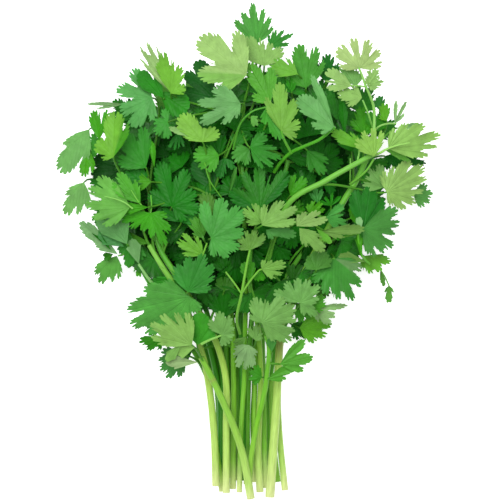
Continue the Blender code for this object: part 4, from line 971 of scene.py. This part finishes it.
# Each stalk: its colour, its radius at the foot and at the tip, and the points that it passes through.
TWIGS = {
    # The dark green of these three back stems is painted shade.
    "stem_back_left": ((70, 142, 32), 2.0, 1.6, ((-19, -141, 9), (-18, -105, 9), (-20, -80, 10),
        (-27, -50, 13))),
    "stem_back_left_inner": ((70, 142, 32), 2.0, 1.6, ((-16.5, -140, 10), (-16.5, -105, 10),
        (-17, -75, 11), (-22, -45, 13))),
    "stem_back_middle": ((70, 142, 32), 2.0, 1.6, ((-4.5, -141, 12), (-4.5, -105, 12), (-5, -75, 12),
        (-6, -30, 14))),
    "stem_back_right": ((140, 188, 80), 1.9, 1.6, ((17, -142, 10), (15, -125, 10), (13.5, -105, 10),
        (13, -80, 10))),
    "twig_front": ((120, 178, 72), 1.0, 0.7, ((-6, -50.5, 38), (-8, -41, 46), (-5, -26, 56), (-2, -9, 61),
        (0, 0, 64))),
    "twig_front_left": ((120, 178, 72), 0.6, 0.5, ((-5, -26, 56), (-9.5, -19.5, 57), (-14.5, -13, 57))),
    "twig_front_right": ((120, 178, 72), 0.65, 0.55, ((-5, -26, 56), (0, -18.5, 58), (5, -12.5, 60),
        (7, -11.5, 61))),
    "twig_high": ((85, 150, 55), 0.65, 0.5, ((-10, 60, 56), (-6, 74, 66), (1, 81.5, 72), (10, 84.5, 71))),
    "twig_folded": ((82, 158, 40), 1.1, 0.9, ((14.5, 46.5, 50), (18.5, 52.5, 56), (24.5, 58, 62),
        (32.5, 61.5, 68), (41.5, 65.5, 72), (50, 72.5, 76))),
    "twig_centre_high": ((100, 170, 60), 0.9, 0.6, ((24.5, 57.5, 62), (20.5, 64.5, 70), (18.5, 70, 74))),
    "twig_right_tip": ((150, 205, 110), 0.9, 0.35, ((72.5, 56, 63), (77, 57.5, 65), (81.5, 60, 67),
        (87.5, 62, 67.5), (94.5, 63.5, 67))),
    "twig_feather": ((140, 195, 110), 1.0, 0.6, ((72, 59.5, 58), (74, 71.5, 54), (74, 83.5, 54),
        (72, 90.5, 57), (69, 97, 60), (66.5, 104, 61), (64.5, 108.5, 62))),
    "twig_feather_left": ((140, 195, 110), 0.5, 0.4, ((69, 97, 60), (64.5, 97.5, 62), (60.5, 97.5, 63))),
    "twig_feather_low": ((130, 190, 100), 0.6, 0.5, ((74, 72, 50), (72, 76.5, 55), (70, 82, 59),
        (67, 89, 61))),
    "twig_fork": ((140, 190, 110), 0.6, 0.5, ((74, 71, 50), (77.5, 74, 53), (82.5, 75.5, 52),
        (87.5, 75.5, 51))),
    "twig_lower": ((110, 175, 70), 1.0, 0.6, ((35, -19.5, 36), (42, -12, 42), (47, -7, 46),
        (50.5, -5, 49))),
    "twig_bright": ((100, 175, 50), 0.8, 0.6, ((64, 10.5, 61), (65, 3, 58), (67.5, -4, 50),
        (72, -8.5, 44))),
    "twig_right_long": ((90, 160, 50), 0.8, 0.6, ((20.5, -13.5, 30), (25.5, -5, 38), (32.5, 3, 44))),
    "twig_left_low": ((125, 180, 90), 0.7, 0.5, ((-65, -2.5, 36), (-72.5, -2, 38), (-79.5, -3.5, 35))),
    "twig_left_silver": ((140, 190, 130), 1.0, 0.7, ((-57.5, -21.5, 42), (-62, -15.5, 46),
        (-66.5, -8.5, 49))),
    "twig_left_pale": ((135, 198, 105), 0.55, 0.25, ((-69.5, 24.5, 65), (-74, 28, 66.5), (-79, 30, 66),
        (-86.5, 32, 64))),
    "twig_left_rib": ((120, 190, 82), 0.5, 0.25, ((-64, 26, 63), (-67, 30, 65), (-70.5, 35.5, 65))),
    "twig_left_lobed": ((120, 180, 70), 0.6, 0.5, ((-30, -11, 50), (-28, -3, 60), (-25.5, 4, 64))),
    "twig_hanging": ((115, 175, 85), 0.5, 0.4, ((79, -12, 28), (82, -16.5, 26), (84.5, -22, 25))),
    "twig_waist_small": ((135, 190, 100), 0.9, 0.6, ((-29, -56, 58), (-24, -53.5, 60),
        (-16.5, -50.5, 61))),
    "twig_upper_stalk": ((100, 165, 62), 0.5, 0.35, ((-27, 52, 58), (-24, 41.5, 56), (-16.5, 30.5, 52))),
    "twig_left_mid": ((95, 165, 55), 0.5, 0.35, ((-59, 32.5, 58), (-58.5, 26, 60), (-59, 22, 61))),
    "twig_right_branch": ((120, 185, 80), 0.8, 0.6, ((60, 39.5, 48), (64.5, 43, 53), (69.5, 47.5, 58),
        (73.5, 54, 63))),
    "twig_right_fine": ((125, 185, 90), 0.5, 0.4, ((60, 41, 47), (60, 48, 50), (60, 55, 50))),
    "twig_right_upright": ((130, 190, 100), 0.6, 0.5, ((64, 53.5, 62), (65, 59.5, 60), (63.5, 66.5, 57))),
}
for name, (colour, at_foot, at_tip, points) in TWIGS.items():
    radii = np.linspace(at_foot, at_tip, TWIG_STEPS)
    points, quads, caps, place = tube(smooth_run(points, TWIG_STEPS), radii, TWIG_SIDES)
    skin(name, points, quads, caps, linear(colour), place, STEM_SKIN, "stem")

# ------------------------------------------------------------------------------- surface, light, view
# A plain white surface that the bunch lies on, a hair below it, under a wide, soft studio light from
# above the crown's left.  The camera looks straight down from far off.
PAPER = (0.92, 0.92, 0.92, 1)
WHITE = (1, 1, 1, 1)
VIEW_SIDE = 0.3  # metres, the side of the square that is seen at the height SEEN_AT
SEEN_AT = 0.045
LENS, SENSOR = 200, 36

bpy.ops.mesh.primitive_plane_add(size=6, location=(0, 0, -0.0003))
surface = bpy.context.object
surface.name = "surface"
paper = bpy.data.materials.new("white surface")
paper.use_nodes = True
paper_shader = paper.node_tree.nodes["Principled BSDF"]
paper_shader.inputs["Base Color"].default_value = PAPER
paper_shader.inputs["Roughness"].default_value = 0.9
paper_shader.inputs["Emission Color"].default_value = WHITE
paper_shader.inputs["Emission Strength"].default_value = 0.62
surface.data.materials.append(paper)

world = bpy.data.worlds.new("studio")
world.use_nodes = True
world.node_tree.nodes["Background"].inputs["Color"].default_value = WHITE
world.node_tree.nodes["Background"].inputs["Strength"].default_value = 0.52
bpy.context.scene.world = world

light = bpy.data.lights.new("soft box", "AREA")
light.shape = "SQUARE"
light.size = 1.2
light.energy = 34
lamp = bpy.data.objects.new("soft box", light)
lamp.location = (-0.25, 0.45, 1.6)
lamp.rotation_euler = (math.radians(-16), math.radians(-9), 0)
bpy.context.scene.collection.objects.link(lamp)

camera = bpy.data.cameras.new("camera")
camera.lens = LENS
camera.sensor_width = SENSOR
eye = bpy.data.objects.new("camera", camera)
eye.location = (0, 0, SEEN_AT + VIEW_SIDE * LENS / SENSOR)
bpy.context.scene.collection.objects.link(eye)
bpy.context.scene.camera = eye
bpy.context.scene.view_settings.view_transform = "Standard"
